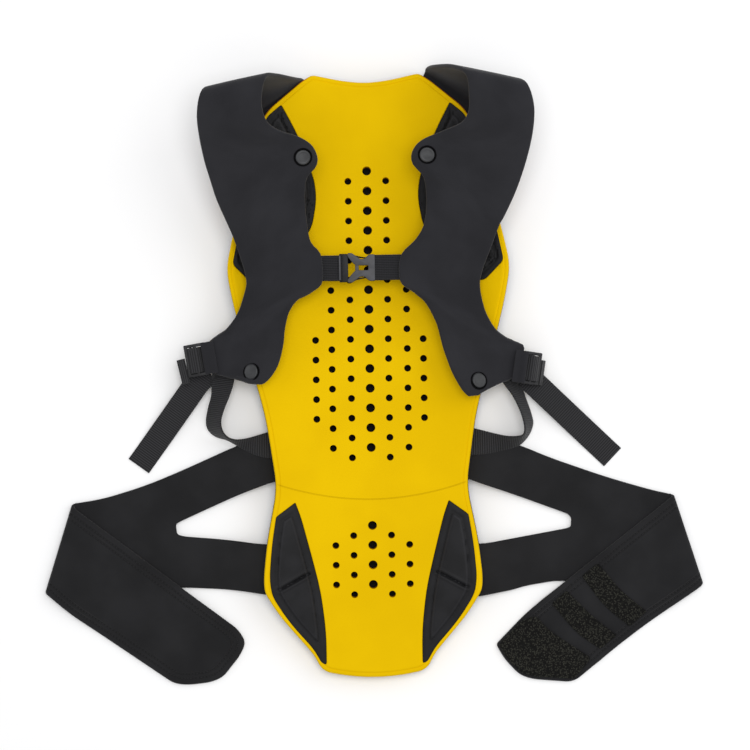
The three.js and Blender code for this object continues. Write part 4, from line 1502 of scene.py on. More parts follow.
@dataclass
class ShoulderFlap:
    """A padded flap from behind the shoulder, folded over and down the chest, with its snaps."""

    side: Side
    curve: BackCurve
    finishes: Finishes
    thickness: float = 4.0
    root_drop: float = 2.5
    seat_gap: float = 0.25

    SOCKET = ((0.0, -0.8), (8.6, -0.8), (8.8, 0.0), (8.5, 0.5), (8.0, 0.6), (7.6, 0.3),
              (7.3, 0.0), (0.0, 0.0))
    CAP = ((0.0, 0.1), (6.85, 0.1), (6.95, 0.7), (6.7, 1.25), (6.1, 1.6), (5.3, 1.7),
           (4.9, 1.5), (4.3, 1.5), (2.0, 1.7), (0.0, 1.75))

    SNAP_SPOTS = {
        Side.LEFT: {"upper": (-59.2, 206.4), "lower": (-111.0, 6.7)},
        Side.RIGHT: {"upper": (57.0, 206.8), "lower": (102.0, -5.2)},
    }

    def sheet(self) -> Ribbon:
        """Lays out the flap's rows on its own side."""
        sign = self.side.value
        rows = []
        for inner, outer, sag in FLAP_LEFT if self.side is Side.LEFT else FLAP_RIGHT:
            edge = []
            for x, y, z in (inner, outer):
                height = self.curve.under(x, y) - self.root_drop if z < 0 else z
                edge += [x * sign, y, height]
            rows.append([*edge, sag])
        return Ribbon(rows, self.thickness, rounding=2.0, step=4.0, across=22)

    def snaps(self, sheet: Ribbon) -> None:
        """Seats the two snap caps on the flap.

        Args:
            sheet: The flap's sheet.
        """
        for place, (x, y) in self.SNAP_SPOTS[self.side].items():
            point, normal = sheet.nearest(x, y, first=6.0)
            turn = normal.to_track_quat("Z", "Y").to_matrix().to_4x4()
            rise = Matrix.Translation(point + normal * self.seat_gap)
            node = f"snap_{place}_{self.side.label}"
            for name, profile, finish, nodes in (
                ("socket", self.SOCKET, self.finishes.socket, ()),
                ("cap", self.CAP, self.finishes.cap, (node,)),
            ):
                mesh = self.turned(profile)
                bmesh.ops.transform(mesh, matrix=rise @ turn, verts=mesh.verts)
                make_piece(f"{name}_of_{node}", mesh, finish, nodes, crease=50)

    @staticmethod
    def turned(profile: Sequence[Flat]) -> Mesh:
        """Spins a profile of radius and height about the upright axis.

        Args:
            profile: The profile from the axis and back to it.

        Returns:
            The closed mesh.
        """
        mesh = bmesh.new()
        verts = [mesh.verts.new((x, 0, z)) for x, z in profile]
        edges = [mesh.edges.new(pair) for pair in zip(verts, verts[1:])]
        bmesh.ops.spin(mesh, geom=verts + edges, cent=(0, 0, 0), axis=(0, 0, 1),
                       angle=2 * math.pi, steps=40, use_merge=True)
        bmesh.ops.remove_doubles(mesh, verts=mesh.verts, dist=1e-3)
        face_outwards(mesh)
        return mesh

    def build(self) -> Piece:
        """Builds the flap and its snaps.

        Returns:
            The flap.
        """
        sheet = self.sheet()
        node = f"shoulder_flap_{self.side.label}"
        mesh = sheet.build()
        piece = make_piece(f"cloth_{node}", mesh, self.finishes.flap, [node],
                           crease=60)
        self.snaps(sheet)
        return piece


@dataclass
class BeltWing:
    """A waist belt wing: a flat cut with a window, folded back over itself at its outer end."""

    side: Side
    curve: BackCurve
    finishes: Finishes
    base: tuple[Corner, ...]
    window: tuple[Corner, ...]
    over: tuple[Corner, ...]
    fold_from: Flat
    fold_to: Flat
    thickness: float = 3.6
    step: float = 4.1
    edge: float = 101.2
    floor_gap: float = 0.05
    rim: Sequence[float] = (0.0, 0.15, 0.5, 1.0, 1.8)
    cell: float = 6.0
    wing_reach: float = 230.0
    fold_reach: float = 290.0
    half_span: float = 260.0
    root_gap: float = 0.5
    puff: float = 0.9
    ridges: Sequence[Border] = ()
    ridge_height: float = 1.3
    dents: Sequence[Flat] = ()
    rises: Sequence[Flat] = (
        (-14.0, 1.0), (1.0, 0.85), (24.0, 0.35), (46.0, 0.06), (80.0, 0.0), (400.0, 0.0),
    )

    def __post_init__(self) -> None:
        """Works out the fold line's directions and bend."""
        start, end = Vector(self.fold_from), Vector(self.fold_to)
        self.along = (end - start).normalized()
        self.outward = Vector((-self.along.y, self.along.x))
        if self.outward.x < 0:
            self.outward = -self.outward
        self.radius = self.step / 2
        self.line = start - self.outward * (self.radius + self.thickness / 2)
        self.layer = self.thickness / 2 + self.floor_gap

    def unfolded(self, corner: Corner) -> Corner:
        """Turns a corner of the folded layer into one of the flat cut.

        Args:
            corner: The corner where it lies, with its rounding.

        Returns:
            The corner of the flat cut.
        """
        x, y, rounding = corner
        point = Vector((x, y))
        back = (self.line - point).dot(self.outward)
        flat = point + self.outward * (2 * back + math.pi * self.radius)
        return (flat.x, flat.y, rounding)

    def root_height(self, x: float, y: float) -> float:
        """The height of the belt's root under the cover."""
        strap = smooth_step(-0.31, -0.265, y / self.curve.half_length) * 2.0
        return self.curve.under(x, y) - self.root_gap - self.thickness / 2 - strap

    def base_height(self, x: float, y: float) -> float:
        """The height of the wing's own layer at a plan point."""
        out = x - self.edge
        table = self.rises
        k = next(k for k in range(len(table) - 1) if out <= table[k + 1][0])
        share = (out - table[k][0]) / (table[k + 1][0] - table[k][0])
        rise = spline([(row[1],) for row in table], k + min(1.0, max(0.0, share)))[0]
        root = self.root_height(min(x, self.edge), y)
        wave = max(0.0, math.sin(x / 31.0 + y / 47.0)) * 0.3 * smooth_step(60, 110, out)
        for dent_x, dent_y in self.dents:
            slant = (x - dent_x) + 0.6 * (y - dent_y)
            wave += 1.1 * math.exp(-((slant / 2.6) ** 2) - ((y - dent_y) / 9.0) ** 2)
        return self.layer + max(0.0, rise) * (root - self.layer) + wave

    def over_height(self, y: float) -> float:
        """The height of the folded layer, which drops to the floor beyond the wing."""
        return self.layer + self.step * smooth_step(-0.83, -0.705, y / self.curve.half_length)

    def middle(self, point: Vector) -> Vector:
        """Folds a point of the flat cut.

        Args:
            point: The point in the flat cut.

        Returns:
            Where it lies.
        """
        flat = Vector((point.x, point.y))
        beyond = (flat - self.line).dot(self.outward)
        if beyond <= 0:
            return Vector((flat.x, flat.y, self.base_height(flat.x, flat.y)))
        foot = flat - self.outward * beyond
        bend = math.pi * self.radius
        if beyond < bend:
            angle = beyond / self.radius
            plan = foot + self.outward * (self.radius * math.sin(angle))
            return Vector((plan.x, plan.y, self.layer + self.radius * (1 - math.cos(angle))))
        plan = foot - self.outward * (beyond - bend)
        puff = self.puff * math.sin(min(1.0, (beyond - bend) / 60.0) * math.pi)
        for ridge in self.ridges:
            away = ridge.nearest(plan.x, plan.y)[0]
            puff += self.ridge_height * math.exp(-((away / 4.5) ** 2))
        return Vector((plan.x, plan.y, self.over_height(plan.y) + puff))

    def place(self, point: Vector, share: float) -> Vector:
        """Places a point of the flat cut, off the middle surface by a share of half thickness."""
        near = 0.05
        middle = self.middle(point)
        east = self.middle(point + Vector((near, 0, 0))) - middle
        north = self.middle(point + Vector((0, near, 0))) - middle
        normal = east.cross(north).normalized()
        return middle + normal * (share * self.thickness / 2)

    def cut(self) -> Outline:
        """The outline of the flat cut."""
        return Outline((*self.base, *(self.unfolded(corner) for corner in self.over)))

    def build(self) -> Piece:
        """Cuts, folds and closes the wing.

        Returns:
            The wing.
        """
        mesh = bmesh.new()
        outer, inner = self.cut(), Outline(self.window)
        last = []
        for outline, sign in ((outer, 1), (inner, -1)):
            steps = [(sign * inward, rounded_share(inward, self.thickness / 2))
                     for inward in self.rim]
            last += raise_outline(mesh, outline, steps, filled=())
        bmesh.ops.triangle_fill(mesh, edges=last, use_beauty=True, normal=(0, 0, 1))
        face_outwards(mesh)
        if sum(face.normal.z for face in mesh.faces) < 0:
            bmesh.ops.reverse_faces(mesh, faces=mesh.faces)
        self.slice(mesh)
        mark_cut(mesh)
        Border(outer.ring()).measure(mesh)
        double_up(mesh, self.place)
        self.side.lay_out(mesh)
        node = f"belt_{self.side.label}"
        return make_piece(f"cloth_{node}", mesh, self.finishes.belt, [node],
                          crease=60)

    def slice(self, mesh: Mesh) -> None:
        """Cuts the flat cut into cells that follow the fold.

        Args:
            mesh: The flat cut.
        """
        outward = Vector((self.outward.x, self.outward.y, 0))
        along = Vector((self.along.x, self.along.y, 0))
        zero = self.line.dot(self.outward)
        bend = math.pi * self.radius
        places = spaced(zero - self.wing_reach, zero, self.cell)
        places += [zero + bend * k / 6 for k in range(1, 7)]
        places += spaced(zero + bend + self.cell, zero + bend + self.fold_reach, self.cell)
        slice_mesh(mesh, outward, places)
        centre = self.line.dot(self.along)
        slice_mesh(mesh, along, spaced(centre - self.half_span, centre + self.half_span,
                                       self.cell))

    def declare(self, piece: Piece) -> None:
        """Args:
            piece: The wing.
        """
        ring = self.cut().ring()
        spread = [point.dot(self.outward) for point in ring]
        height = [point.dot(self.along) for point in ring]
        cloth = enclosed(ring) - enclosed(Outline(self.window).ring())
        width, length = max(height) - min(height), max(spread) - min(spread)
        LOG.info("%s: cut %.0f x %.0f mm, %.0f cm2", piece.name, width, length, cloth / 100)
        width * MM
        length * MM
        cloth * MM * MM


class WaistBelt:
    """Both belt wings and the hook patches on the right one."""

    LEFT_BASE: tuple[Corner, ...] = (
        (286.0, -116.6, 2), (258.1, -112.6, 30), (217.6, -100.8, 30), (182.8, -87.0, 40),
        (129.4, -63.8, 30), (101.0, -54.5, 8), (87.2, -53.0, 2), (87.2, -207.5, 2),
        (101.9, -206.6, 4), (136.7, -201.4, 20), (179.9, -198.9, 10), (240.0, -199.0, 10),
        (300.0, -200.5, 6),
    )
    LEFT_WINDOW: tuple[Corner, ...] = (
        (190.6, -137.0, 4), (189.3, -149.3, 4), (181.0, -151.7, 6), (138.8, -155.6, 20),
        (108.0, -160.0, 10), (78.0, -160.0, 3), (78.0, -94.0, 3), (98.0, -97.6, 10),
        (126.4, -108.0, 20), (184.6, -133.6, 5),
    )
    LEFT_OVER: tuple[Corner, ...] = (
        (309.7, -206.0, 5), (289.4, -223.6, 20), (192.5, -290.9, 8), (178.4, -292.3, 10),
        (157.2, -290.0, 10), (145.7, -285.4, 8), (128.5, -264.2, 10), (123.2, -252.0, 6),
        (130.5, -239.8, 6), (179.8, -201.8, 20), (284.5, -121.5, 3),
    )
    RIGHT_BASE: tuple[Corner, ...] = (
        (289.5, -117.4, 2), (269.6, -112.9, 20), (226.6, -100.0, 30), (170.4, -79.6, 40),
        (142.6, -67.3, 30), (101.0, -55.0, 8), (87.2, -53.0, 2), (87.2, -211.5, 2),
        (102.6, -211.3, 4), (133.6, -206.0, 20), (145.3, -202.6, 10), (172.6, -198.4, 6),
        (181.8, -198.5, 6), (240.0, -199.0, 10), (300.0, -200.5, 6),
    )
    RIGHT_WINDOW: tuple[Corner, ...] = (
        (192.8, -137.3, 4), (192.0, -147.6, 4), (187.4, -149.6, 5), (149.9, -156.1, 20),
        (109.3, -162.7, 8), (78.0, -162.0, 3), (78.0, -94.0, 3), (92.6, -96.9, 6),
        (132.2, -111.2, 20), (188.6, -132.6, 5),
    )
    RIGHT_OVER: tuple[Corner, ...] = (
        (312.6, -206.4, 5), (270.2, -234.6, 20), (239.2, -256.8, 20), (193.6, -293.1, 5),
        (186.0, -295.2, 4), (151.4, -292.1, 12), (139.0, -287.9, 8), (124.9, -273.0, 8),
        (116.6, -258.0, 3), (149.6, -224.6, 20), (186.9, -196.1, 20), (284.0, -121.4, 3),
    )
    PATCHES: dict[str, tuple[Corner, ...]] = {
        "end": ((190.5, -291.5, 3), (153.0, -288.8, 10), (140.5, -285.5, 8), (127.5, -271.5, 8),
                (119.8, -258.5, 2), (141.0, -236.5, 3), (155.0, -231.5, 5), (167.4, -246.1, 10),
                (206.8, -272.6, 3)),
        "middle": ((193.9, -248.8, 16), (216.4, -264.0, 2), (232.6, -251.2, 2),
                   (209.6, -233.0, 16), (184.7, -207.0, 2), (170.4, -219.5, 2)),
        "outer": ((220.9, -223.5, 16), (245.2, -243.0, 2), (261.6, -228.6, 2),
                  (236.6, -208.6, 16), (215.6, -181.4, 2), (199.6, -193.6, 2)),
    }
    RIDGES: tuple[tuple[Flat, ...], ...] = (
        ((157.0, -222.0), (178.0, -245.5), (214.0, -271.5)),
        ((190.0, -199.0), (214.0, -230.0), (240.5, -248.5)),
    )

    def __init__(self, curve: BackCurve, finishes: Finishes) -> None:
        """Keeps the shared curve and materials."""
        self.curve = curve
        self.finishes = finishes

    def build(self) -> None:
        """Builds both wings and the patches."""
        left = BeltWing(Side.LEFT, self.curve, self.finishes, self.LEFT_BASE, self.LEFT_WINDOW,
                        self.LEFT_OVER, (287.6, -116.8), (313.9, -199.0))
        ridges = [Border([Vector(spot) for spot in line], closed=False) for line in self.RIDGES]
        right = BeltWing(Side.RIGHT, self.curve, self.finishes, self.RIGHT_BASE,
                         self.RIGHT_WINDOW, self.RIGHT_OVER, (290.7, -121.5), (316.0, -202.5),
                         ridges=ridges, dents=((264.6, -121.6), (252.0, -121.0), (276.0, -124.5)))
        left.declare(left.build())
        cloth = right.build()
        patches = [self.patch(name, corners, right) for name, corners in self.PATCHES.items()]
        right.declare(cloth)

    def patch(self, name: str, corners: tuple[Corner, ...], wing: BeltWing) -> Piece:
        """Builds a hook patch on the folded layer.

        Args:
            name: Which patch.
            corners: Its corners where it lies, with their roundings. Its edge leans inwards if
                they run anticlockwise, and outwards if not.
            wing: The wing that it lies on.

        Returns:
            The patch.
        """
        mesh = bmesh.new()
        steps = ((0.0, 0.0), (0.1, 0.6), (0.5, 1.0))
        raise_outline(mesh, Outline(corners), steps, filled=(-1,))
        slice_grid(mesh, (100, 280), (-300, -160), 5)
        mark_cut(mesh)

        def place(point: Vector, share: float) -> Vector:
            """Lays a point of the patch on the belt."""
            corner = wing.unfolded((point.x, point.y, 0.0))
            top = wing.place(Vector((corner[0], corner[1], 0)), -1.0)
            return Vector((point.x, point.y, top.z + 0.75 + 0.6 * share))

        double_up(mesh, place)
        face_outwards(mesh)
        node = f"hook_patch_{name}"
        return make_piece(f"tape_{node}", mesh, self.finishes.hook, [node], crease=60)


STRAP_RUNS: dict[Side, tuple[tuple[Corner, Corner], ...]] = {
    Side.LEFT: (
        ((88, -49, -1.05), (88, -77, -1.05)), ((97, -50.5, -1.05), (96, -76, -1.05)),
        ((106, -53, 12.4), (106, -74.5, 10.8)), ((115, -55.5, 13.6), (116, -70.5, 7.8)),
        ((122.5, -57.2, 17.5), (125, -65.5, 6.2)), ((129.5, -57.4, 22.5), (132, -61.0, 4.6)),
        ((135, -55.6, 26), (139, -57.4, 4.0)), ((139.4, -51.2, 27), (149, -54.2, 5.2)),
        ((141.8, -45, 27), (155.6, -48, 7.5)), ((141.8, -37, 26.5), (157.4, -40, 9.5)),
        ((138.2, -26, 25.5), (155.4, -27.5, 11.5)), ((132.4, -12, 23.5), (151.8, -14.5, 14)),
        ((129, 1.4, 21.5), (151.4, -1.5, 16)), ((131, 18, 18.9), (150.5, 2.5, 17.3)),
    ),
    Side.RIGHT: (
        ((88, -48.5, -1.05), (88, -78, -1.05)), ((97, -50, -1.05), (96.5, -76.2, -1.05)),
        ((108, -52.8, 12.6), (107.5, -75.5, 10.2)), ((119, -55.8, 14.5), (119.5, -73.6, 6.8)),
        ((129.7, -58.2, 19), (131, -71.2, 4.6)), ((138.5, -58.4, 24), (141.5, -67.6, 3.6)),
        ((144.4, -57, 27), (148.4, -61.4, 4.2)), ((146, -52.5, 28), (152.8, -54.5, 5.5)),
        ((145.6, -46.5, 28), (155.2, -46.6, 6.8)), ((143.6, -38.5, 27.5), (153.9, -38.8, 7.5)),
        ((140.6, -30.5, 27), (151.3, -30.5, 8.5)), ((134.6, -18.5, 26), (148.4, -22, 10)),
        ((126.2, -6.6, 24), (145.6, -13.6, 13.5)), ((122, 6, 20), (141, -8.5, 16.5)),
    ),
}


@dataclass(frozen=True)
class StrapFit:
    """What differs between the side straps: angles in degrees, and plan places."""

    tilt: float
    thread_skipped: int
    tail_start: Flat
    tail_length: float
    tail_turn: float
    tab_down: float
    tab_droop: float
    tab_turn: float


STRAP_FITS: dict[Side, StrapFit] = {
    Side.LEFT: StrapFit(tilt=14.0, thread_skipped=0, tail_start=(165.048, -2.87),
                        tail_length=98.0, tail_turn=53.5, tab_down=8.5, tab_droop=12.0,
                        tab_turn=-4.0),
    Side.RIGHT: StrapFit(tilt=38.0, thread_skipped=2, tail_start=(155.6, -7.3),
                         tail_length=105.5, tail_turn=44.0, tab_down=3.0, tab_droop=24.0,
                         tab_turn=0.0),
}


@dataclass
class SideStrap:
    """The webbing from the plate's side through the ladder lock, with the lock and its tab."""

    side: Side
    curve: BackCurve
    finishes: Finishes
    width: float = 24.0
    webbing: float = 1.5
    bar: float = 3.0
    slot: float = 6.0
    tail_back: float = 13.0
    rail: float = 3.0
    gap: float = 0.5
    heading: float = 9.0
    lock_at: Corner = (1.054, 0.066, 0.257)
    pulled_in: float = 11.0
    pulled_down: float = 13.0
    tab_reach: float = 8.0
    tail: Sequence[Flat] = (
        (0, 0.52), (0.15, 0.44), (0.4, 0.25), (0.65, 0.1), (0.85, 0), (1, 0),
    )

    def root(self, spot: Corner) -> Vector:
        """Turns a spot of the run into a point; below 0 its height is from the cover down."""
        x, y, z = spot
        return Vector((x, y, self.curve.under(x, y) + z if z < 0 else z))

    def lay(self, share: Corner) -> Vector:
        """Turns shares of the flap's sizes into a point, as if on the right.

        Args:
            share: Shares of the flap span, the half length and the flap height.

        Returns:
            The point.
        """
        x, y, z = (part * size for part, size in
                   zip(share, (FLAP_SPAN, self.curve.half_length, FLAP_HEIGHT)))
        if self.side is Side.RIGHT:
            far = share[1]
            x -= self.pulled_in * smooth_step(0.7, 0.4, far) * smooth_step(-0.12, 0.02, far)
            y -= self.pulled_down * smooth_step(0.32, 0.05, far) * smooth_step(-0.26, -0.02, far)
        return Vector((x, y, z))

    def frame(self) -> Matrix:
        """The lock's own frame: x away from the flap, y along its bars."""
        turn = Matrix.Rotation(-math.radians(self.heading), 4, "Z")
        tilt = Matrix.Rotation(math.radians(self.fit.tilt), 4, "Y")
        return Matrix.Translation(self.lay(self.lock_at)) @ turn @ tilt

    @property
    def fit(self) -> StrapFit:
        """The values that hold on this side alone."""
        return STRAP_FITS[self.side]

    def webbing_rows(self) -> list[list[float]]:
        """The edges of the webbing from its root to its tail's end."""
        frame_matrix = self.frame()
        half = self.bar / 2
        clear = self.webbing / 2 + 0.5
        pitch = self.bar + self.slot
        pairs = [(self.root(a), self.root(b)) for a, b in STRAP_RUNS[self.side]]
        thread = (
            (-pitch - 4, -half - clear - 2.8), (-pitch, -half - clear - 0.2),
            (-half - 0.65 * self.slot, -half - clear + 0.1), (-half - 1.5 * clear, half - 0.3),
            (-half - 0.5, half + clear + 0.2), (half + 0.5, half + clear + 0.3),
            (half + 3.6, half + clear + 0.3), (half + 5.3, half + clear - 0.1),
            (half + 5.3, half + 0.3), (half + 4.8, -0.4), (half + 4.8, -half - clear),
            (half + 2.5, -half - 2.6 * clear),
        )
        for along, height in thread[self.fit.thread_skipped:]:
            pairs.append(tuple(frame_matrix @ Vector((along, sign * self.width / 2, height))
                               for sign in (1, -1)))
        angle = math.radians(self.fit.tail_turn)
        along = Vector((math.cos(angle), -math.sin(angle), 0))
        across = Vector((math.sin(angle), math.cos(angle), 0)) * (self.width / 2)
        start = Vector((*self.fit.tail_start, 0)) - along * self.tail_back
        for share, height in self.tail:
            centre = start + along * (share * (self.fit.tail_length + self.tail_back))
            centre.z = self.webbing / 2 + 0.05 + height * frame_matrix.translation.z
            pairs.append((centre + across, centre - across))
        return [[*a, *b, 0.0] for a, b in pairs]

    def webbing_piece(self) -> None:
        """Builds the webbing."""
        ribbon = Ribbon(self.webbing_rows(), self.webbing, rounding=0.7, step=2.5, across=8)
        mesh = ribbon.build()
        self.side.lay_out(mesh)
        node = f"side_strap_{self.side.label}"
        make_piece(f"webbing_{node}", mesh, self.finishes.webbing, [node], crease=60)

    def lock(self) -> None:
        """Builds the ladder lock: three rounded bars between two rails."""
        mesh = bmesh.new()
        opening = self.width + 2 * self.gap
        pitch = self.bar + self.slot
        blocks = [(k * pitch, 0.0, self.bar, opening + self.rail) for k in (-1, 0, 1)]
        reach = 2 * pitch + self.bar
        blocks += [(0.0, sign * (opening + self.rail) / 2, reach, self.rail) for sign in (-1, 1)]
        for x, y, long, wide in blocks:
            scale = Matrix.Diagonal((long, wide, self.bar, 1))
            made = bmesh.ops.create_cube(mesh, size=1.0,
                                         matrix=Matrix.Translation((x, y, 0)) @ scale)
            edges = list({edge for vert in made["verts"] for edge in vert.link_edges})
            bmesh.ops.bevel(mesh, geom=edges, offset=0.85, offset_type="OFFSET", segments=3,
                            profile=0.5, affect="EDGES", material=-1)
        bmesh.ops.transform(mesh, matrix=self.frame(), verts=mesh.verts)
        self.side.lay_out(mesh)
        node = f"adjuster_{self.side.label}"
        make_piece(f"ladder_lock_{self.side.label}", mesh, self.finishes.plastic,
                   [node], crease=50)

    def strip(self, name: str, path: Sequence[Flat], matrix: Matrix, material: Material,
              nodes: Sequence[str] = (), wider: float = 0.0) -> None:
        """Builds a short strip as wide as the webbing.

        Args:
            name: The piece's name.
            path: Its middle line along and up in the matrix's frame.
            matrix: Where it goes, as if on the right.
            material: Its material.
            nodes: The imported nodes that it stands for.
            wider: How much wider than the webbing it is.
        """
        rows = []
        half = (self.width + wider) / 2
        for x, z in path:
            edge = [matrix @ Vector((x, sign * half, z)) for sign in (1, -1)]
            rows.append([*edge[0], *edge[1], 0.0])
        mesh = Ribbon(rows, 1.0, rounding=0.5, step=1.0, across=6).build()
        self.side.lay_out(mesh)
        make_piece(name, mesh, material, nodes, crease=70)

    def tab(self) -> None:
        """Builds the sewn release tab: a short folded loop of webbing that droops."""
        start = self.bar * 1.5 + self.slot + 0.9
        reach = self.tab_reach
        matrix = self.frame() @ Matrix.Translation((start, -self.fit.tab_down, 0.0))
        matrix = matrix @ Matrix.Rotation(math.radians(self.fit.tab_turn), 4, "Z")
        matrix = matrix @ Matrix.Rotation(math.radians(self.fit.tab_droop), 4, "Y")
        path = ((-0.3, -0.75), (2.5, -0.7), (reach - 1.6, -0.65), (reach - 0.4, -0.35),
                (reach, 0.0), (reach - 0.4, 0.35), (reach - 1.6, 0.65), (2.5, 0.7), (-0.3, 0.75))
        node = f"release_tab_{self.side.label}"
        self.strip(f"webbing_{node}", path, matrix, self.finishes.webbing, [node])

    def end_loop(self) -> None:
        """Builds the flap's end, sewn over the lock's inner bar."""
        angle = math.radians(self.fit.tilt)
        pitch = self.bar + self.slot
        bar_x, crown = -pitch * math.cos(angle), pitch * math.sin(angle) + self.bar / 2 + 1.0
        path = ((bar_x - 10, 7.4), (bar_x - 5, max(5.9, crown - 1.2)), (bar_x - 1.5, crown),
                (bar_x, crown + 0.1), (bar_x + 1.4, crown - 0.5), (bar_x + 2.3, crown - 1.0))
        level = self.frame() @ Matrix.Rotation(-angle, 4, "Y")
        self.strip(f"cloth_end_loop_{self.side.label}", path, level, self.finishes.flap,
                   wider=6.5)

    def build(self) -> None:
        """Builds the webbing, the lock, the flap's end over its bar and the tab."""
        self.webbing_piece()
        self.lock()
        self.end_loop()
        self.tab()


@dataclass
class ChestClasp:
    """The chest strap's two ends and the side release buckle between them."""

    finishes: Finishes
    line: float = 103.32
    height: float = 42.6
    centre: float = -10.5
    length: float = 34.0
    width: float = 24.0
    webbing: float = 1.5
    bar: float = 3.0
    flap_ends: Sequence[float] = (-65.0, 53.0)

    ARM = ((17.0, 12.5, 1.5), (11.3, 12.5, 2.0), (6.8, 8.2, 2.5), (3.0, 8.2, 2.5),
           (-4.5, 13.9, 1.0), (-8.8, 13.9, 1.2), (-9.2, 11.2, 1.0), (-4.4, 5.2, 1.0),
           (-1.2, 2.3, 1.0), (10.6, 2.3, 0.8), (10.6, -1.2, 0.2), (17.0, -1.2, 0.2))
    RAIL = ((-16.5, 12.0, 0.5), (-9.0, 12.0, 0.5), (-9.0, 13.4, 0.5), (-16.5, 13.4, 0.5))
    PRONG = ((-9.5, 12.8, 0.4), (-3.0, 12.2, 2.0), (5.0, 10.2, 3.0), (11.0, 9.6, 0.4),
             (11.0, 8.4, 0.4), (5.0, 8.9, 3.0), (-3.5, 10.6, 2.0), (-9.5, 10.8, 0.4))

    @staticmethod
    def across(start: float, end: float, half: float, outer: float,
               inner: Optional[float] = None) -> tuple[Corner, ...]:
        """A bar across the buckle.

        Args:
            start: Its left side.
            end: Its right side.
            half: Half its length.
            outer: How far its left corners' rounding reaches.
            inner: The same for its right corners, where it differs.

        Returns:
            Its corners.
        """
        right = outer if inner is None else inner
        return ((start, -half, outer), (end, -half, right), (end, half, right),
                (start, half, outer))

    @staticmethod
    def both(corners: Sequence[Corner]) -> list[list[Corner]]:
        """A shape of the buckle's upper half and the same shape in its lower half."""
        return [[(x, sign * y, r) for x, y, r in corners] for sign in (1, -1)]

    def strap(self, side: Side, flap_end: float) -> None:
        """Builds one strap, round the buckle's bar and back under itself.

        Args:
            side: Which strap.
            flap_end: Where it starts under its flap.
        """
        toward = -side.value
        bar_x = self.centre - toward * (self.length / 2 - self.bar / 2)
        bend = self.bar / 2 + 0.3 + self.webbing / 2
        path = [(flap_end, bend + 0.2), ((flap_end + bar_x) / 2, bend + 0.3), (bar_x, bend)]
        for degrees in (30, 60, 90, 120, 150):
            angle = math.radians(degrees)
            path.append((bar_x + toward * bend * math.sin(angle), bend * math.cos(angle)))
        path += [(bar_x, -bend), (bar_x - toward * 12, -bend)]
        rows = [[x, self.line + self.width / 2, self.height + z, x, self.line - self.width / 2,
                 self.height + z, 0.0] for x, z in path]
        mesh = Ribbon(rows, self.webbing, rounding=0.7, step=1.6, across=8).build()
        node = f"chest_strap_{side.label}"
        make_piece(f"webbing_{node}", mesh, self.finishes.corded, [node], crease=60)

    def block(self, mesh: Mesh, corners: Sequence[Corner], low: float, high: float,
              edge: float = 0.7) -> None:
        """Adds a moulded plate with rounded edges.

        Args:
            mesh: The mesh that it goes in.
            corners: Its corners about the buckle's centre, with their roundings.
            low: Its lower height about the strap's height.
            high: Its upper height.
            edge: How far its edges are rounded.
        """
        outline = Outline(wound(corners), 1.0)
        steps = ((edge, low), (0.25 * edge, low + 0.25 * edge), (0.0, low + edge),
                 (0.0, high - edge), (0.25 * edge, high - 0.25 * edge), (edge, high))
        raise_outline(mesh, outline, steps)

    def moulding(self, name: str, blocks: Sequence[tuple[Sequence[Corner], float, float]],
                 material: Material, nodes: Sequence[str] = ()) -> None:
        """Builds a piece of the buckle from its blocks.

        Args:
            name: The piece's name.
            blocks: Corners, lower and upper height of each block.
            material: Its material.
            nodes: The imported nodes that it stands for.
        """
        mesh = bmesh.new()
        for corners, low, high in blocks:
            self.block(mesh, corners, low, high)
        bmesh.ops.translate(mesh, vec=(self.centre, self.line, self.height), verts=mesh.verts)
        face_outwards(mesh)
        make_piece(name, mesh, material, nodes, crease=40)

    def build(self) -> None:
        """Builds both straps, both halves of the buckle, and a light strip at its left end that
        paints a highlight.
        """
        for side, flap_end in zip(Side, self.flap_ends):
            self.strap(side, flap_end)
        female = [(arm, -3.4, high) for arm, high in zip(self.both(self.ARM), (4.0, 3.96))]
        female.append((self.across(14.0, 17.0, 12.5, 0.8), -1.5, 1.5))
        female.append((self.across(-1.8, 1.6, 2.9, 1.0, 0.6), -3.0, 3.6))
        male = [(self.across(-17.0, -14.2, 13.0, 1.3, 0.6), -1.5, 1.5),
                (self.across(-14.2, -8.4, 13.2, 1.0), -2.9, 3.1)]
        for rail, prong in zip(self.both(self.RAIL), self.both(self.PRONG)):
            male += [(rail, -1.9, 1.9), (prong, -2.2, 1.6)]
        # Painted highlight: a thin light strip at the buckle's left end stands in for a highlight
        # on its edge.
        lip = [(self.across(-17.1, -15.3, 11.6, 0.5), 3.4, 5.0)]
        self.moulding("clasp_outer", female, self.finishes.clasp, ["buckle_female"])
        # The inner half is drawn in the darker copy of the plastic, painted shade.
        self.moulding("clasp_inner", male, self.finishes.shaded_clasp, ["buckle_male"])
        self.moulding("clasp_highlight_strip", lip, self.finishes.clasp)


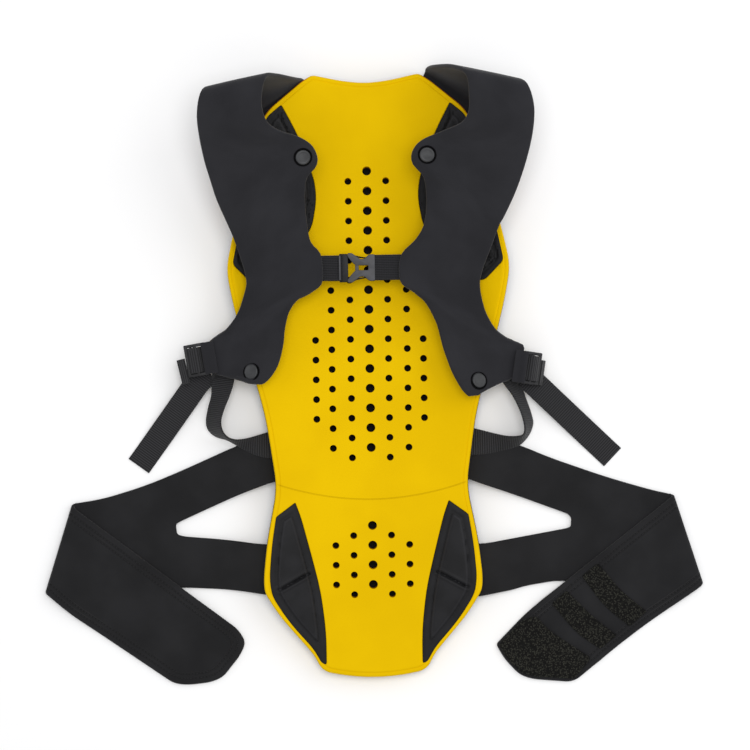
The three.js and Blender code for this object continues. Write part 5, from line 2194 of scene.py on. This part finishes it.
@dataclass
class Studio:
    """Pale floor, soft light and the camera over the protector."""

    sky: float = 0.62
    lamps: Sequence[tuple[str, Corner, float, float]] = (
        ("key", (1.3, 0.7, 1.5), 1.6, 8.0),
        ("overhead", (0.1, 0.3, 3.0), 1.6, 41.0),
    )
    stand: Corner = (0.0048, 0.0020, 2.5)
    lens: float = 125.0
    turn: float = -0.943
    floor_half: float = 6.0
    floor_gap: float = 0.0004

    def build(self) -> None:
        """Builds the floor, the lights and the camera."""
        self.floor()
        self.lights()
        self.camera()

    def floor(self) -> None:
        """Lays the floor."""
        mesh = bmesh.new()
        bmesh.ops.create_grid(mesh, x_segments=2, y_segments=2, size=self.floor_half)
        bmesh.ops.translate(mesh, vec=(0, 0, -self.floor_gap), verts=mesh.verts)
        floor = stood_up("studio_floor", mesh)
        floor.data.materials.append(FloorFinish().material())

    def lights(self) -> None:
        """Hangs soft lights overhead and to the upper right, under an even sky."""
        world = bpy.context.scene.world or bpy.data.worlds.new("sky")
        bpy.context.scene.world = world
        bpy.context.scene.view_settings.view_transform = "Standard"
        world.use_nodes = True
        back = world.node_tree.nodes["Background"]
        back.inputs["Color"].default_value = (1.0, 1.0, 1.0, 1.0)
        back.inputs["Strength"].default_value = self.sky
        for name, place, size, power in self.lamps:
            data = bpy.data.lights.new(name, "AREA")
            data.shape = "DISK"
            data.size = size
            data.energy = power
            light = linked(name, data)
            light.location = place
            light.rotation_euler = (-Vector(place)).to_track_quat("-Z", "Y").to_euler()

    def camera(self) -> None:
        """Puts the camera straight over the protector, turned as in the photograph."""
        data = bpy.data.cameras.new("over")
        data.sensor_width = 36.0
        data.lens = self.lens
        camera = linked("over", data)
        camera.location = self.stand
        camera.rotation_euler = (0.0, 0.0, math.radians(self.turn))
        bpy.context.scene.camera = camera


def main() -> None:
    """Builds every sub-assembly in order."""
    logging.basicConfig(level=logging.INFO, format="%(name)s %(message)s")
    finishes = Finishes()
    curve = BackCurve()
    Studio().build()
    FoamPlate(curve, finishes).build()
    RearCover(curve, finishes).build()
    for side in Side:
        SoftPad("scapula_pad", SCAPULA, side, curve, finishes, inset=7.0).build()
        groove = ((62.0, -186.0), (88.8, -200.5))
        SoftPad("lumbar_pad", LUMBAR, side, curve, finishes, inset=7.5,
                grooves=(groove,)).build()
        ShoulderFlap(side, curve, finishes).build()
        SideStrap(side, curve, finishes).build()
    WaistBelt(curve, finishes).build()
    ChestClasp(finishes).build()


if __name__ == "__main__":
    main()
